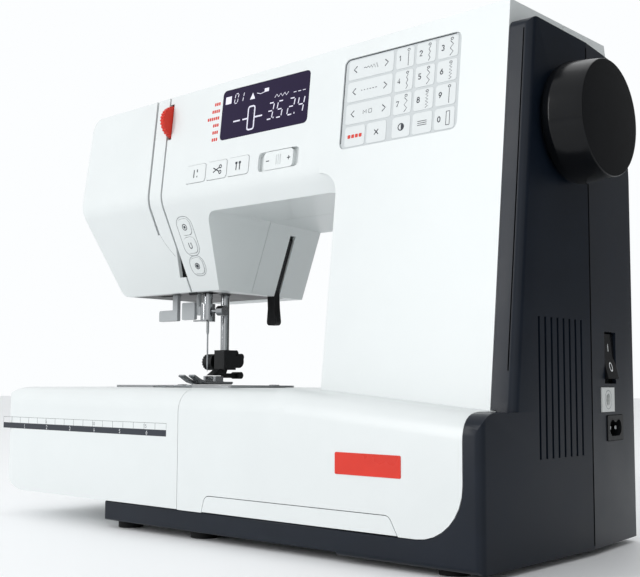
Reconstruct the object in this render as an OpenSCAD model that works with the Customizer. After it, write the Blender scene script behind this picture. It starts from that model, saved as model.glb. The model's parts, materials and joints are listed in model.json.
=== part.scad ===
// Computerised domestic sewing machine with extension table.
// Millimetres, +Z up. The origin is under the middle of the machine, on the surface it stands on.
// +X runs from the needle end to the handwheel, +Y from the operator to the back.

/* [Overall] */
// Length from the extension table's end to the handwheel's face
machine_length = 410; // [406:1:414]
// Depth of the bed from front to back
machine_depth = 171; // [169:1:173]
// Height of the casing's top at the handwheel end
top_height = 282.4; // [280:0.2:284]
// Height of the bed's sewing surface
bed_height = 84.5; // [84:0.1:85]
// Thickness of the moulded casings
wall = 2.5; // [2:0.1:2.8]
// Gap between neighbouring casings
seam = 0.4; // [0.2:0.1:0.6]

/* [Arm and column] */
// Left face of the head
head_left = -179.6; // [-182:0.1:-178]
// Underside of the head
head_bottom = 148.3; // [147:0.1:150]
// Height at which the head's chin starts to slope back
chin_height = 207; // [205:1:209]
// Underside of the arm
arm_bottom = 196; // [194:1:198]
// Left face of the column
column_left = 60; // [58:1:62]
// Right face of the light casings
column_right = 168; // [167:0.5:169]
// Outer face of the dark side cover
side_face = 181.3; // [180.5:0.1:182]
// Backward lean of the front face, millimetres per millimetre of height
front_lean = 0.11; // [0.1:0.005:0.12]
// Where the front casings meet the rear ones
split_y = 19.5; // [18.5:0.5:20.5]

/* [Needle and drive] */
// Position of the needle bar along the machine
needle_x = -93; // [-93.5:0.1:-92.5]
// Position of the needle bar from front to back
needle_y = 0.5; // [0:0.1:1]
// Distance of the presser bar behind the needle bar
presser_offset = 16; // [15.5:0.1:16.5]
// Height of the main shaft
shaft_z = 221; // [220.5:0.1:221.5]
// Front to back position of both shafts
shaft_y = -1.9; // [-2.2:0.1:-1.6]
// Height of the lower shaft
lower_z = 54; // [53.8:0.1:54.2]
// Radius of the crank that drives the needle bar
crank_radius = 14; // [13:0.5:14]
// Outer radius of the rotary hook
hook_radius = 16.5; // [16:0.1:16.6]

/* [Controls] */
// Radius of the handwheel's face
wheel_radius = 29.7; // [29:0.1:30.5]
// Radius of the thread tension dial
dial_radius = 11; // [10.5:0.1:11.2]
// Travel of every push button
button_travel = 1.5; // [1:0.1:1.5]
// Gap round every push button
button_gap = 0.25; // [0.2:0.05:0.3]

/* [Extension table] */
// Seam between the table and the bed
table_right = -22.9; // [-23.5:0.1:-22.5]
// Underside of the table
table_bottom = 16.3; // [16.2:0.1:16.6]
// Width of the stitch chart tray
tray_width = 136; // [130:1:138]

/* [Hidden] */
$fn = 48;

// Colours
WHITE = [0.93, 0.95, 0.95];
DARK = [0.2, 0.22, 0.25];
BLACK = [0.05, 0.05, 0.06];
RED = [0.86, 0.2, 0.14];
GREY = [0.7, 0.72, 0.73];
STEEL = [0.62, 0.63, 0.65];
CAST = [0.75, 0.76, 0.77];
BOARD = [0.1, 0.4, 0.2];
BRASS = [0.8, 0.65, 0.3];

// Outside limits of the casing
front_y = -machine_depth / 2;
rear_y = machine_depth / 2;
table_left = -machine_length / 2;
wheel_face = machine_length / 2;
head_top_left = top_height - 7.4;
lean_angle = atan(front_lean);
top_slope = (top_height - head_top_left) / (column_right - head_left);
ledge_drop = 9.5;
ledge_angle = atan(ledge_drop / (column_right + 3 - column_left));
bed_right = column_right + 3;
bed_bottom = 16;
base_bottom = 4.5;
base_left = -91.3;
base_right = 95.3;
cover_bottom = 3.2;
cover_depth = 2.5;

// The column's back leans in above this height
rear_break = 173;
rear_mid = [rear_y - 3.5, 207];
rear_high = [rear_y - 14, 265];
side_taper = 0.106;
proud = 0.02;
corner_r = 14;

// The chin is a flat slope from the front face back to the head's underside
chin_foot = [-14.5, head_bottom];
chin_head = [front_at(chin_height), chin_height];
chin_angle = atan((chin_foot.x - chin_head.x) / (chin_head.y - chin_foot.y));

// The head's right side is also cut back towards the rear
cheek = [-64.5, -14.5, head_bottom];
cheek_lean = atan(0.37);
cheek_turn = atan(0.17);

presser_y = needle_y + presser_offset;
needle_bar_r = 3.2;
presser_bar_r = 3;
shaft_r = 5;
lower_r = 4;
neck_r = 14;
gear_r = 10.3;
pinion_r = gear_r / 2;
mesh_gap = 0.15;
hook_y = shaft_y - gear_r - pinion_r - mesh_gap;
hook_floor = 66.8;
timing_r = 14;
timing_x = [100, 110];
drive_r = 30;
motor_pulley_r = 7;
drive_x = [134, 144];
motor_at = [46, 95];
belt_gap = 0.3;
running = 0.05;
plate_top = bed_height + 1.5;

free_arm = [[-160, -35.5, 40], [table_right + seam / 2, 41.5, bed_height]];
plate_low = [-153, -30.5];
plate_high = [-38, 36.5];
cover_half = 19;

keypad_box = [[59.8, 218.3], [139.5, 271.9]];
display_box = [[-41.1, 239.2], [33.4, 271.9]];
button_row = [-70, 214.4];
button_size = [18.8, 12.2];
speed_box = [[-4.4, 214], [29, 226]];
chin_button = [11.6, 11.6];
chin_x = -78.5;
chin_steps = [44.9, 32.3, 17.8];

thread_slot = 1.6;
dial_x = [-92.6, -89.2];
dial_z = 259.8;
dial_at = [front_at(dial_z) + 3.2, dial_z];
dial_pin_r = 2.4;

lifter_at = [-90, 172];
lifter_y = [46.8, 52.2];
lever_at = [12, 245];
tray_left = -2;
rocker_at = [46.5, 102];
rocker_depth = 6;
rocker_tilt = 8;
socket_at = [41.2, 79.6];
inlet_at = [51.4, 64.4];

handle_x = [-13, 143];
handle_y = [26, 58];
handle_z = [270, 277];
handle_pivot = [30, 273.5];
handle_well = [[-16, 24, 267.5], [146, 62, 300]];
spool_well = [[-14, -20, 271], [84, 12, 300]];

vent_count = 8;
vent_pitch = 6.07;
vent_start = -33.8;
vent_z = [51.6, 120.8];
vent_width = 1.8;

feet_low = [[-81, front_y + 14], [-15, front_y + 14], [-81, rear_y - 14], [-15, rear_y - 14]];
feet_right = [[157, front_y + 14], [157, rear_y - 18]];
base_screws = [[-60, -40], [-60, 50], [40, 40], [70, -60]];
rear_screws = [[20, 40], [130, 40], [112, 150]];

function unit(v) = v / norm(v);

// The front face's position at a height
function front_at(z) = -35.75 - front_lean * (270.3 - z);

// Arc that rounds the corner b between a and c with radius r
function corner_arc(a, b, c, r, steps) =
    let (
        u = unit(a - b),
        w = unit(c - b),
        half = acos(u * w) / 2,
        centre = b + unit(u + w) * r / sin(half),
        start = b + u * r / tan(half) - centre,
        stop = b + w * r / tan(half) - centre,
        from = atan2(start.y, start.x),
        turn = (atan2(stop.y, stop.x) - from + 540) % 360 - 180
    )
    [for (i = [0:steps]) centre + r * [cos(from + turn * i / steps), sin(from + turn * i / steps)]];

// Outline through [x, y, radius] corners
function rounded(corners, steps = 6) =
    let (n = len(corners), at = [for (p = corners) [p.x, p.y]])
    [for (i = [0:n - 1])
        each corners[i].z > 0
            ? corner_arc(at[(i + n - 1) % n], at[i], at[(i + 1) % n], corners[i].z, steps)
            : [at[i]]];

module box(low, high) translate(low) cube(high - low);

module along_x(x0, x1) translate([x0, 0, 0]) rotate([90, 0, 90]) linear_extrude(x1 - x0) children();

module along_y(y0, y1) translate([0, y1, 0]) rotate([90, 0, 0]) linear_extrude(y1 - y0) children();

module along_z(z0, z1) translate([0, 0, z0]) linear_extrude(z1 - z0) children();

// Round bars along each axis; the position gives the other two coordinates
module bar_x(x0, x1, at, r) translate([x0, at.x, at.y]) rotate([0, 90, 0]) cylinder(h = x1 - x0, r = r);

module bar_y(y0, y1, at, r) translate([at.x, y0, at.y]) rotate([-90, 0, 0]) cylinder(h = y1 - y0, r = r);

module bar_z(z0, z1, at, r) translate([at.x, at.y, z0]) cylinder(h = z1 - z0, r = r);

module tile(size, r) polygon(rounded([
    [-size.x / 2, -size.y / 2, r], [size.x / 2, -size.y / 2, r],
    [size.x / 2, size.y / 2, r], [-size.x / 2, size.y / 2, r]
], 4));

// Local frames: x along the machine, y up the face, z out of it
module on_front(x, z) translate([x, front_at(z), z]) rotate([90 - lean_angle, 0, 0]) children();

module on_chin(x, up) translate([x, chin_foot.x - up * sin(chin_angle), chin_foot.y + up * cos(chin_angle)])
    rotate([90 + chin_angle, 0, 0]) children();

// Local frame on the tapered rear side: x out of the face
module on_side(y, z) translate([side_face - side_taper * (y - split_y), y, z])
    rotate([0, 0, atan(side_taper)]) children();

// ---- casing outlines, grown by a margin (negative for the inside) ----

module grown(margin) {
    if (margin == 0) children();
    else offset(delta = margin) children();
}

module upper_outline(margin) grown(margin) polygon(rounded([
    [head_left + 14.6, head_bottom, 6], [head_left, chin_height + 5, 25],
    [head_left + 3.3, head_top_left, 9], [column_right, top_height, 0],
    [column_right, 70, 0], [column_left - 20, 70, 0], [column_left - 20, bed_height, 0],
    [column_left, bed_height, 8], [column_left, arm_bottom, 10],
    [-53.3, arm_bottom, 8], [-66, head_bottom, 0]
]));

module head_profile(margin) grown(margin) polygon(rounded([
    [chin_foot.x, chin_foot.y, 0], [chin_head.x, chin_head.y, 20],
    [front_at(300), 300, 0], [rear_high.x - 8, 300, 0], [rear_high.x, rear_high.y, 12],
    [rear_mid.x, rear_mid.y, 20], [rear_mid.x, head_bottom, 0]
]));

// The column's front stands a hair proud of the head's
module column_profile(margin) grown(margin) polygon(rounded([
    [front_at(60) - proud, 60, 0], [front_at(300) - proud, 300, 0], [rear_high.x - 8, 300, 0],
    [rear_high.x, rear_high.y, 12], [rear_mid.x, rear_mid.y, 20],
    [rear_y, rear_break, 10], [rear_y, 60, 0]
]));

module bed_profile(margin, bottom) grown(margin) polygon(rounded([
    [front_y, bottom, 0], [front_y, bed_height, 13], [rear_y, bed_height, 3], [rear_y, bottom, 0]
]));

module bed_end_outline(margin) grown(margin) polygon(rounded([
    [column_left - 10, bed_bottom, 0], [bed_right, bed_bottom, 26],
    [bed_right, 100, 0], [column_left - 10, 100, 0]
], 8));

module head_cheek(margin) intersection() {
    translate(cheek + [margin, 0, 0]) rotate([0, cheek_lean, cheek_turn]) translate([0, -60, -30])
        cube([80, 200, 90]);
    box([-120, -60, 100], [column_left - 20, 120, arm_bottom - margin]);
}

module upper_form(margin) difference() {
    intersection() {
        along_y(front_y, rear_y) upper_outline(margin);
        union() {
            along_x(head_left - 10, column_left) head_profile(margin);
            along_x(column_left, column_right) column_profile(margin);
            arm_corner(margin);
        }
    }
    head_cheek(margin);
}

// Rounded inner corner of the front face, where the arm meets the column
module arm_corner(margin) intersection() {
    along_x(column_left - 30, column_left + 1) column_profile(margin);
    along_y(front_y, 0) grown(margin) polygon(concat(
        corner_arc([column_left, 100], [column_left, chin_height], [0, chin_height], corner_r, 8),
        [[column_left - corner_r, chin_height + 14], [column_left + 14, chin_height + 14],
        [column_left + 14, chin_height - corner_r]]
    ));
}

module bed_form(margin, bottom) {
    along_x(table_right + seam / 2 - margin, column_left) bed_profile(margin, bottom);
    intersection() {
        along_y(front_y, rear_y) translate([0, bottom - bed_bottom]) bed_end_outline(margin);
        translate([column_left, 0, bed_height]) rotate([0, ledge_angle, 0]) translate([0, 0, -bed_height])
            along_x(-10, 125) bed_profile(margin, bottom - 30);
    }
}

module free_arm_form(margin) intersection() {
    along_x(free_arm[0].x - margin, free_arm[1].x + 4) grown(margin) polygon(rounded([
        [free_arm[0].y, free_arm[0].z, 6], [free_arm[1].y, free_arm[0].z, 6],
        [free_arm[1].y, free_arm[1].z, 2], [free_arm[0].y, free_arm[1].z, 2]
    ]));
    along_z(0, 100) grown(margin) polygon(rounded([
        [free_arm[0].x, free_arm[0].y, 16], [free_arm[1].x + 20, free_arm[0].y, 0],
        [free_arm[1].x + 20, free_arm[1].y, 0], [free_arm[0].x, free_arm[1].y, 16]
    ]));
}

module casing_shell() difference() {
    union() {
        upper_form(0);
        bed_form(0, bed_bottom);
        free_arm_form(0);
    }
    difference() {
        union() {
            upper_form(-wall);
            bed_form(-wall, bed_bottom - 20);
            free_arm_form(-wall);
        }
        box(handle_well[0] - wall * [1, 1, 1], handle_well[1] + wall * [1, 1, 1]);
        box(spool_well[0] - wall * [1, 1, 1], spool_well[1] + wall * [1, 1, 1]);
    }
    // Open right side, closed by the dark side covers
    box([column_right - 6, -36, 30], [bed_right + 1, 66, 262]);
    // Open underside of the head round the needle and presser bars
    box([-160, -10, head_bottom - 5], [-80, 62, head_bottom + 4]);
    // Wells in the top
    box(handle_well[0], handle_well[1]);
    box(spool_well[0], spool_well[1]);
    // Hook, needle and feed dog openings under the needle plate
    bar_z(hook_floor - 1, bed_height + 1, [needle_x, hook_y], hook_radius + 0.6);
    box([needle_x - 11, hook_y, bed_height - 5], [needle_x + 11, 24.5, bed_height + 1]);
}

module front_half() box([-300, -200, -10], [300, split_y - seam / 2, 400]);

module rear_half() box([-300, split_y + seam / 2, -10], [300, 200, 400]);

module head_left_of_slot(x) box([-300, -200, head_bottom - 20], [x, split_y + 1, 400]);

// ---- casings ----

module front_housing() color(WHITE) {
    front_shell();
    // Lug and pin that carry the tension dial
    box([dial_x[1] + 0.8, dial_at.x - 2.5, dial_z - 6], [dial_x[1] + 3.2, dial_at.x + 6, dial_z + 6]);
    bar_x(dial_x[0] + 0.2, dial_x[1] + 2, dial_at, dial_pin_r);
}

module front_shell() difference() {
    intersection() {
        casing_shell();
        front_half();
    }
    head_left_of_slot(needle_x + thread_slot / 2);
    on_front(mid(display_box).x, mid(display_box).y) panel_hole(size(display_box), 3);
    on_front(mid(keypad_box).x, mid(keypad_box).y) panel_hole(size(keypad_box), 4);
    on_front(mid(speed_box).x, mid(speed_box).y) panel_hole(size(speed_box), 3);
    for (i = [0:2]) on_front(button_x(i), button_row.y + button_size.y / 2) panel_hole(button_size, 2);
    for (up = chin_steps) on_chin(chin_x, up) panel_hole(chin_button, 4);
    box([needle_x - 1, -60, dial_z - dial_radius - 1.2], [dial_x[1] + 0.5, -20, dial_z + dial_radius + 1.2]);
    // Mouth of the stitch chart tray
    along_y(front_y - 1, front_y + 6) offset(delta = seam) tray_outline();
    bar_z(270, 290, winder_at(), 3.4);
}

module panel_hole(size, r) translate([0, 0, -6]) linear_extrude(8) tile(size, r);

function size(b) = b[1] - b[0];

function mid(b) = (b[0] + b[1]) / 2;

function button_x(i) = button_row.x + (i + 0.5) * (button_size.x + 0.6);

function winder_at() = [128, 2];

module rear_housing() color(WHITE) difference() {
    intersection() {
        casing_shell();
        rear_half();
    }
    // The bed is shorter behind the split, where the dark cover tapers
    difference() {
        box([base_right, 0, 0], [200, 200, 100]);
        translate([column_right - bed_right, 0, 0]) along_y(-1, 201) bed_end_outline(0);
    }
    // Slot of the presser foot lifter
    box([-90, lifter_y[0] - 0.5, head_bottom - 10], [-40, lifter_y[1] + 0.5, 190]);
    bar_x(handle_x[0] - 7, handle_x[1] + 7, handle_pivot, 2.5 + running);
    for (at = rear_screws) bar_y(rear_y - 8, rear_y + 1, at, 3);
}

module face_cover() color(WHITE) difference() {
    intersection() {
        casing_shell();
        front_half();
        head_left_of_slot(needle_x - thread_slot / 2);
    }
    // Slot in which the take-up lever works
    box([needle_x - 14, -80, 186], [needle_x - 12, -18, 300]);
    // Flared foot of the thread slot
    along_y(-50, -10) polygon([[needle_x, 158], [needle_x - 6.5, 158], [needle_x, 179]]);
}

module base_tray() color(DARK) difference() {
    box([base_left, front_y + 1.5, base_bottom], [base_right, rear_y - 2, bed_bottom - 0.1]);
    translate([0, 0, base_bottom + wall])
        box([base_left + wall, front_y + 4, 0], [base_right - wall, rear_y - 4.5, 20]);
    for (at = base_screws) bar_z(base_bottom - 1, base_bottom + wall + 1, at, 3.5);
}

module cover_side_profile(margin) grown(margin) polygon(rounded([
    [front_y, cover_bottom, 3], [front_y, bed_height - ledge_drop - 0.5, 10],
    [front_at(bed_height - ledge_drop), bed_height - ledge_drop - 0.5, 5],
    [front_at(271), 270.8, 5], [rear_high.x - 12, 269, 8], [rear_high.x, rear_high.y - 1, 6],
    [rear_mid.x, rear_mid.y, 20], [rear_y, rear_break, 10], [rear_y, cover_bottom, 3]
]));

// Plan of the whole right end, tapering behind the split
module cover_plan(margin) grown(margin) polygon(rounded([
    [base_right + 0.5, front_y, 0], [side_face, front_y, 4], [side_face, split_y, 0],
    [side_face - side_taper * (rear_y - split_y), rear_y, 5], [base_right + 0.5, rear_y, 0]
]));

// Plan of the upper part, swept along the lean of the front face
module cover_column(margin) translate([0, front_at(0) - proud, 0]) rotate([-lean_angle, 0, 0])
    linear_extrude(300) grown(margin) polygon(rounded([
        [base_right + 0.5, 0, 0], [side_face, 0, 4.5], [side_face, 300, 0], [base_right + 0.5, 300, 0]
    ]));

module cover_form(margin) intersection() {
    along_x(base_right + 0.5 - margin, side_face) cover_side_profile(margin);
    along_z(-10, 300) cover_plan(margin);
    union() {
        box([0, -200, -20], [300, 200, bed_height - ledge_drop - 0.5 + margin]);
        cover_column(margin);
    }
}

// The light casings with a seam round them, taken out of the dark cover
module casing_clearance() {
    box([base_right - 10, -200, bed_height - ledge_drop - 4], [column_right + seam, 200, 300]);
    intersection() {
        union() {
            along_y(-200, split_y) offset(delta = seam) bed_end_outline(0);
            translate([column_right - bed_right, 0, 0]) along_y(split_y, 200)
                offset(delta = seam) bed_end_outline(0);
        }
        box([0, -200, 0], [300, 200, bed_height - ledge_drop + seam]);
    }
}

module side_cover_shell() difference() {
    cover_form(0);
    casing_clearance();
    box([base_right + wall, front_y + wall, cover_bottom + wall], [column_right + 2.6, rear_y - wall, 60]);
    intersection() {
        cover_form(-wall);
        box([column_right - 10, -200, cover_bottom + wall], [300, 200, 300]);
    }
}

module side_cover_front() color(DARK) difference() {
    intersection() {
        side_cover_shell();
        box([0, -200, -10], [300, split_y - 0.1, 400]);
    }
    bar_x(150, 200, [shaft_y, shaft_z], neck_r + 0.8);
    for (i = [0:vent_count - 1]) {
        y = vent_start + i * vent_pitch;
        box([170, y - vent_width / 2, vent_z[0]], [190, y + vent_width / 2, vent_z[1]]);
    }
}

module side_cover_rear() color(DARK) difference() {
    intersection() {
        side_cover_shell();
        box([0, split_y + 0.1, -10], [300, 200, 400]);
    }
    on_side(rocker_at.x, rocker_at.y) box([-8, -8.4, -13.9], [2, 8.4, 13.9]);
    on_side(socket_at.x, socket_at.y) box([-8, -9.4, -6.8], [2, 9.4, 6.8]);
    on_side(inlet_at.x, inlet_at.y) box([-8, -11.9, -7], [2, 11.9, 7]);
}

// ---- structure ----

// A bracket that carries a bushing on the line of a shaft
module bearing_bracket(x0, x1, at, r, back, half_height) difference() {
    box([x0, at.x - r - 3, at.y - half_height], [x1, back, at.y + half_height]);
    bar_x(x0 - 1, x1 + 1, at, r);
}

main_bearings = [[-68, -60], [64, 72], [150, 158]];
lower_bearings = [[-60, -52], [112, 120]];
main_bush_r = 8;
lower_bush_r = 6;
rail_y = [32, 38];

module bar_guides(z0, z1) difference() {
    box([needle_x - 38, needle_y - 7, z0], [needle_x + 7, rail_y[1], z1]);
    bar_z(z0 - 1, z1 + 1, [needle_x, needle_y], needle_bar_r + running);
    bar_z(z0 - 1, z1 + 1, [needle_x, presser_y], presser_bar_r + running);
    bar_z(z0 - 1, z1 + 1, threader_at, threader_r + running);
    translate(buttonhole_low - [0.3, 0.3]) box([0, 0, z0 - 1], [5.6, 3.6, z1 + 1]);
}

threader_at = [needle_x - 12.5, needle_y + 3];
threader_r = 1.8;
buttonhole_low = [-128, -1];

module arm_frame() color(CAST) {
    // Upper beam behind the main shaft, lower rail behind the lower shaft and the riser between them
    box([needle_x - 38, rail_y[0], 200], [126, rail_y[1], 250]);
    box([125, rail_y[0], 226], [158, rail_y[1], 250]);
    box([-125, rail_y[0], 44], [126, rail_y[1], 60]);
    box([64, rail_y[0], 44], [84, rail_y[1], 250]);
    for (x = main_bearings) bearing_bracket(x[0], x[1], [shaft_y, shaft_z], main_bush_r, rail_y[1], 12);
    for (x = lower_bearings) bearing_bracket(x[0], x[1], [shaft_y, lower_z], lower_bush_r, rail_y[1], 9);
    // Guides of the needle bar and the presser bar
    bar_guides(152, 160);
    difference() {
        box([needle_x - 9, needle_y - 7, 242], [needle_x + 3.9, rail_y[1], 248]);
        bar_z(241, 249, [needle_x, needle_y], needle_bar_r + running);
        bar_z(241, 249, [needle_x, presser_y], presser_bar_r + running);
    }
    box([needle_x - 38, rail_y[0], 152], [needle_x + 7, rail_y[1], 201]);
    // Pivot pins of the take-up lever and the presser foot lifter
    bar_x(needle_x - 18, needle_x - 8, lever_at, 2);
    bar_y(rail_y[0], lifter_y[1] + 1, lifter_at, 2.5);
    // Bearing of the rotary hook
    box([-125, hook_y - 8, 44], [-114, rail_y[1], 65.5]);
    difference() {
        box([-125, hook_y - 8, 60.5], [needle_x + 9, hook_y + 5.4, 65.5]);
        bar_z(60, 66, [needle_x, hook_y], 3 + running);
    }
    // Motor bracket and legs on the base
    difference() {
        box([80, rail_y[0], motor_at.y - 20], [84, motor_at.x + 18, motor_at.y + 20]);
        bar_x(79, 85, motor_at, 6);
    }
    for (x = [10, 80]) box([x, rail_y[0], base_bottom + wall], [x + 10, rail_y[1], 44]);
}

module bushing(x, at, outer, inner) difference() {
    bar_x(x[0], x[1], at, outer);
    bar_x(x[0] - 1, x[1] + 1, at, inner);
}

module shaft_bushings() color(BRASS) {
    for (x = main_bearings) bushing(x, [shaft_y, shaft_z], main_bush_r, shaft_r + running);
    for (x = lower_bearings) bushing(x, [shaft_y, lower_z], lower_bush_r, lower_r + running);
}

module rubber_feet() color(BLACK) {
    for (at = feet_low) bar_z(0, base_bottom, at, 7.5);
    for (at = feet_right) bar_z(0, cover_bottom, at, 7.5);
}

module screw(head_r) {
    cylinder(h = wall - 0.1, r = head_r);
    translate([0, 0, wall - 0.1]) cylinder(h = 9, r = 1.5);
}

module housing_screws() color(STEEL) {
    for (at = base_screws) translate([at.x, at.y, base_bottom + 0.1]) screw(3.2);
    for (at = rear_screws) translate([at.x, rear_y - 0.1, at.y]) rotate([90, 0, 0]) screw(2.8);
}

// ---- drive ----

// Pulley rim with a row of shallow teeth, on the line of its shaft
module toothed_wheel(x0, x1, at, r, bore, teeth) difference() {
    bar_x(x0, x1, at, r);
    bar_x(x0 - 1, x1 + 1, at, bore);
    for (i = [0:teeth - 1]) translate([x0 - 1, at.x, at.y]) rotate([360 * i / teeth, 0, 0])
        translate([0, -0.5 * PI * r / teeth, r - 0.9]) cube([x1 - x0 + 2, PI * r / teeth, 2]);
}

module main_shaft() color(STEEL) bar_x(needle_x + 12, 190, [shaft_y, shaft_z], shaft_r);

module drive_pulley() color(BLACK) {
    axis = [shaft_y, shaft_z];
    toothed_wheel(drive_x[0], drive_x[1], axis, drive_r, shaft_r, 60);
    bushing([timing_x[1] + 1, drive_x[0]], axis, 7, shaft_r);
    toothed_wheel(timing_x[0], timing_x[1] + 1, axis, timing_r, shaft_r, 28);
}

module lower_pulley() color(BLACK) {
    axis = [shaft_y, lower_z];
    toothed_wheel(timing_x[0], timing_x[1], axis, timing_r, lower_r, 28);
}

module lower_shaft() color(STEEL) bar_x(needle_x - 7, 124, [shaft_y, lower_z], lower_r);

module handwheel() color(BLACK) difference() {
    translate([176, shaft_y, shaft_z]) rotate([0, 90, 0]) rotate_extrude($fn = 96) polygon(concat(
        [[0, 0], [neck_r, 0]],
        rounded([
            [neck_r, 5.8, 1], [wheel_radius + 0.5, 5.8, 4], [wheel_radius + 2, 12, 3],
            [wheel_radius, wheel_face - 176, 0.6], [0, wheel_face - 176, 0]
        ], 6)
    ));
    bar_x(175, 190, [shaft_y, shaft_z], shaft_r);
}

module needle_crank() color(STEEL) translate([needle_x, shaft_y, shaft_z]) {
    difference() {
        along_x(12, 17) union() {
            circle(r = 9);
            translate([0, crank_radius]) circle(r = 5.5);
            translate([-5.5, 0]) square([11, crank_radius]);
            // Counterweight
            intersection() {
                circle(r = 18);
                translate([-20, -20]) square([40, 14]);
            }
        }
        bar_x(11, 18, [0, 0], shaft_r);
    }
    bar_x(7.5, 12, [0, crank_radius], 3);
}

rod_x = [needle_x + 4.2, needle_x + 7.2];
rod_low = [needle_y, shaft_z - 26];
rod_high = [shaft_y, shaft_z + crank_radius];

module connecting_rod() color(STEEL) difference() {
    union() {
        bar_x(rod_x[0], rod_x[1], rod_low, 5);
        bar_x(rod_x[0], rod_x[1], rod_high, 6);
        box([rod_x[0], needle_y - 3.6, rod_low.y], [rod_x[1], needle_y + 1.6, rod_high.y]);
    }
    bar_x(rod_x[0] - 1, rod_x[1] + 1, rod_low, 2.5 + running);
    bar_x(rod_x[0] - 1, rod_x[1] + 1, rod_high, 3.1);
}

module take_up_lever() color(STEEL) difference() {
    union() {
        bar_x(needle_x - 16, needle_x - 10, lever_at, 5);
        along_x(needle_x - 13.4, needle_x - 12.6) polygon(rounded([
            [lever_at.x + 4, lever_at.y - 3, 1], [lever_at.x + 2, lever_at.y + 5, 1],
            [lever_at.x - 30, lever_at.y - 2, 6], [lever_at.x - 44, lever_at.y + 2, 2],
            [lever_at.x - 44, lever_at.y - 9, 2], [lever_at.x - 30, lever_at.y - 10, 6]
        ], 3));
    }
    bar_x(needle_x - 17, needle_x - 9, lever_at, 2 + running);
    bar_x(needle_x - 14, needle_x - 12, lever_at + [-40, -4], 1.6);
}

module timing_belt() color(BLACK) {
    low = [shaft_y, lower_z];
    high = [shaft_y, shaft_z];
    inner = timing_r + belt_gap;
    outer = inner + 1.6;
    x0 = timing_x[0] + 1;
    x1 = timing_x[1] - 1;
    difference() {
        union() {
            bar_x(x0, x1, low, outer);
            bar_x(x0, x1, high, outer);
            box([x0, low.x - outer, low.y], [x1, low.x + outer, high.y]);
        }
        bar_x(x0 - 1, x1 + 1, low, inner);
        bar_x(x0 - 1, x1 + 1, high, inner);
        box([x0 - 1, low.x - inner, low.y], [x1 + 1, low.x + inner, high.y]);
    }
}

module belt_outline(margin) hull() {
    translate([shaft_y, shaft_z]) circle(r = drive_r + margin, $fn = 96);
    translate(motor_at) circle(r = motor_pulley_r + margin, $fn = 96);
}

module motor_belt() color(BLACK) along_x(drive_x[0] + 1, drive_x[1] - 1) difference() {
    belt_outline(belt_gap + 1.6);
    belt_outline(belt_gap);
}

module motor() color(STEEL) difference() {
    union() {
        bar_x(84, 126, motor_at, 22);
        bar_x(126, 130, motor_at, 8);
        bar_x(80, 84, motor_at, 5.7);
    }
    bar_x(110, 131, motor_at, 2.5 + running);
}

module motor_pulley() color(BRASS) {
    toothed_wheel(drive_x[0], drive_x[1], motor_at, motor_pulley_r, 2, 14);
    bar_x(112, drive_x[1] + 1, motor_at, 2.5);
}

// ---- hook and feed ----

// Gaps between the teeth of a gear
module gear_teeth(r, teeth, height, depth) for (i = [0:teeth - 1]) rotate(360 * i / teeth)
    translate([r - depth, -0.44 * PI * r / teeth, -1]) cube([depth + 1, 0.88 * PI * r / teeth, height + 2]);

module hook_drive_gear() color(STEEL) translate([needle_x - 5, shaft_y, lower_z]) rotate([0, 90, 0])
    difference() {
        cylinder(h = 10, r = gear_r);
        translate([0, 0, -1]) cylinder(h = 12, r = lower_r);
        gear_teeth(gear_r, 24, 10, 1.2);
    }

module rotary_hook() color(STEEL) translate([needle_x, hook_y, 0]) {
    difference() {
        bar_z(hook_floor, 79.5, [0, 0], hook_radius);
        bar_z(hook_floor + 1.8, 80, [0, 0], hook_radius - 2.2);
        // Relief behind the hook's point
        rotate(40) box([hook_radius - 4, -5, 74], [hook_radius + 1, 6, 81]);
    }
    bar_z(48, hook_floor, [0, 0], 3);
    translate([0, 0, 49]) difference() {
        cylinder(h = 10, r = pinion_r);
        gear_teeth(pinion_r, 12, 10, 0.8);
    }
}

module bobbin_case() color(BLACK) difference() {
    translate([needle_x, hook_y, 0]) union() {
        bar_z(hook_floor + 2.2, 80, [0, 0], 13.8);
        bar_z(80, 81.5, [0, 0], hook_radius - 0.6);
    }
    translate([needle_x, hook_y, 0]) difference() {
        bar_z(hook_floor + 3.8, 82, [0, 0], 11.2);
        bar_z(hook_floor + 3, 77, [0, 0], 2.9);
    }
}

module bobbin() color([0.8, 0.85, 0.9, 0.6]) translate([needle_x, hook_y, hook_floor + 4.2]) difference() {
    union() {
        cylinder(h = 1, r = 10.3);
        translate([0, 0, 1]) cylinder(h = 9, r = 7.5);
        translate([0, 0, 10]) cylinder(h = 1, r = 10.3);
    }
    translate([0, 0, -1]) cylinder(h = 14, r = 3);
}

module feed_dog() color(STEEL) {
    for (side = [-1, 1]) translate([needle_x + side * 5.6 - 1.6, 0, 0]) {
        box([0, 1, 75], [3.2, 21, 85]);
        for (i = [0:11]) along_x(0, 3.2) translate([1 + i * 1.65, 0])
            polygon([[0, 84.9], [1.5, 84.9], [1.3, 85.6]]);
    }
    box([needle_x - 7.2, 17, 68], [needle_x + 7.2, 21, 78]);
    box([needle_x - 7.2, 21, 68], [needle_x + 34, 26, 74]);
}

module needle_plate() color(STEEL) difference() {
    along_z(bed_height, plate_top) polygon(rounded([
        [plate_low.x, plate_low.y, 3], [plate_high.x, plate_low.y, 3],
        [plate_high.x, plate_high.y, 14], [plate_low.x, plate_high.y, 14]
    ]));
    translate([needle_x, 0, bed_height])
        box([-cover_half - 0.3, plate_low.y - 1, -1], [cover_half + 0.3, -4.7, 3]);
    box([needle_x - 3.4, needle_y - 0.9, bed_height - 1], [needle_x + 3.4, needle_y + 0.9, plate_top + 1]);
    for (side = [-1, 1]) translate([needle_x + side * 5.6, 0, 0])
        box([-2, 0.6, bed_height - 1], [2, 21.5, plate_top + 1]);
}

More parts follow.
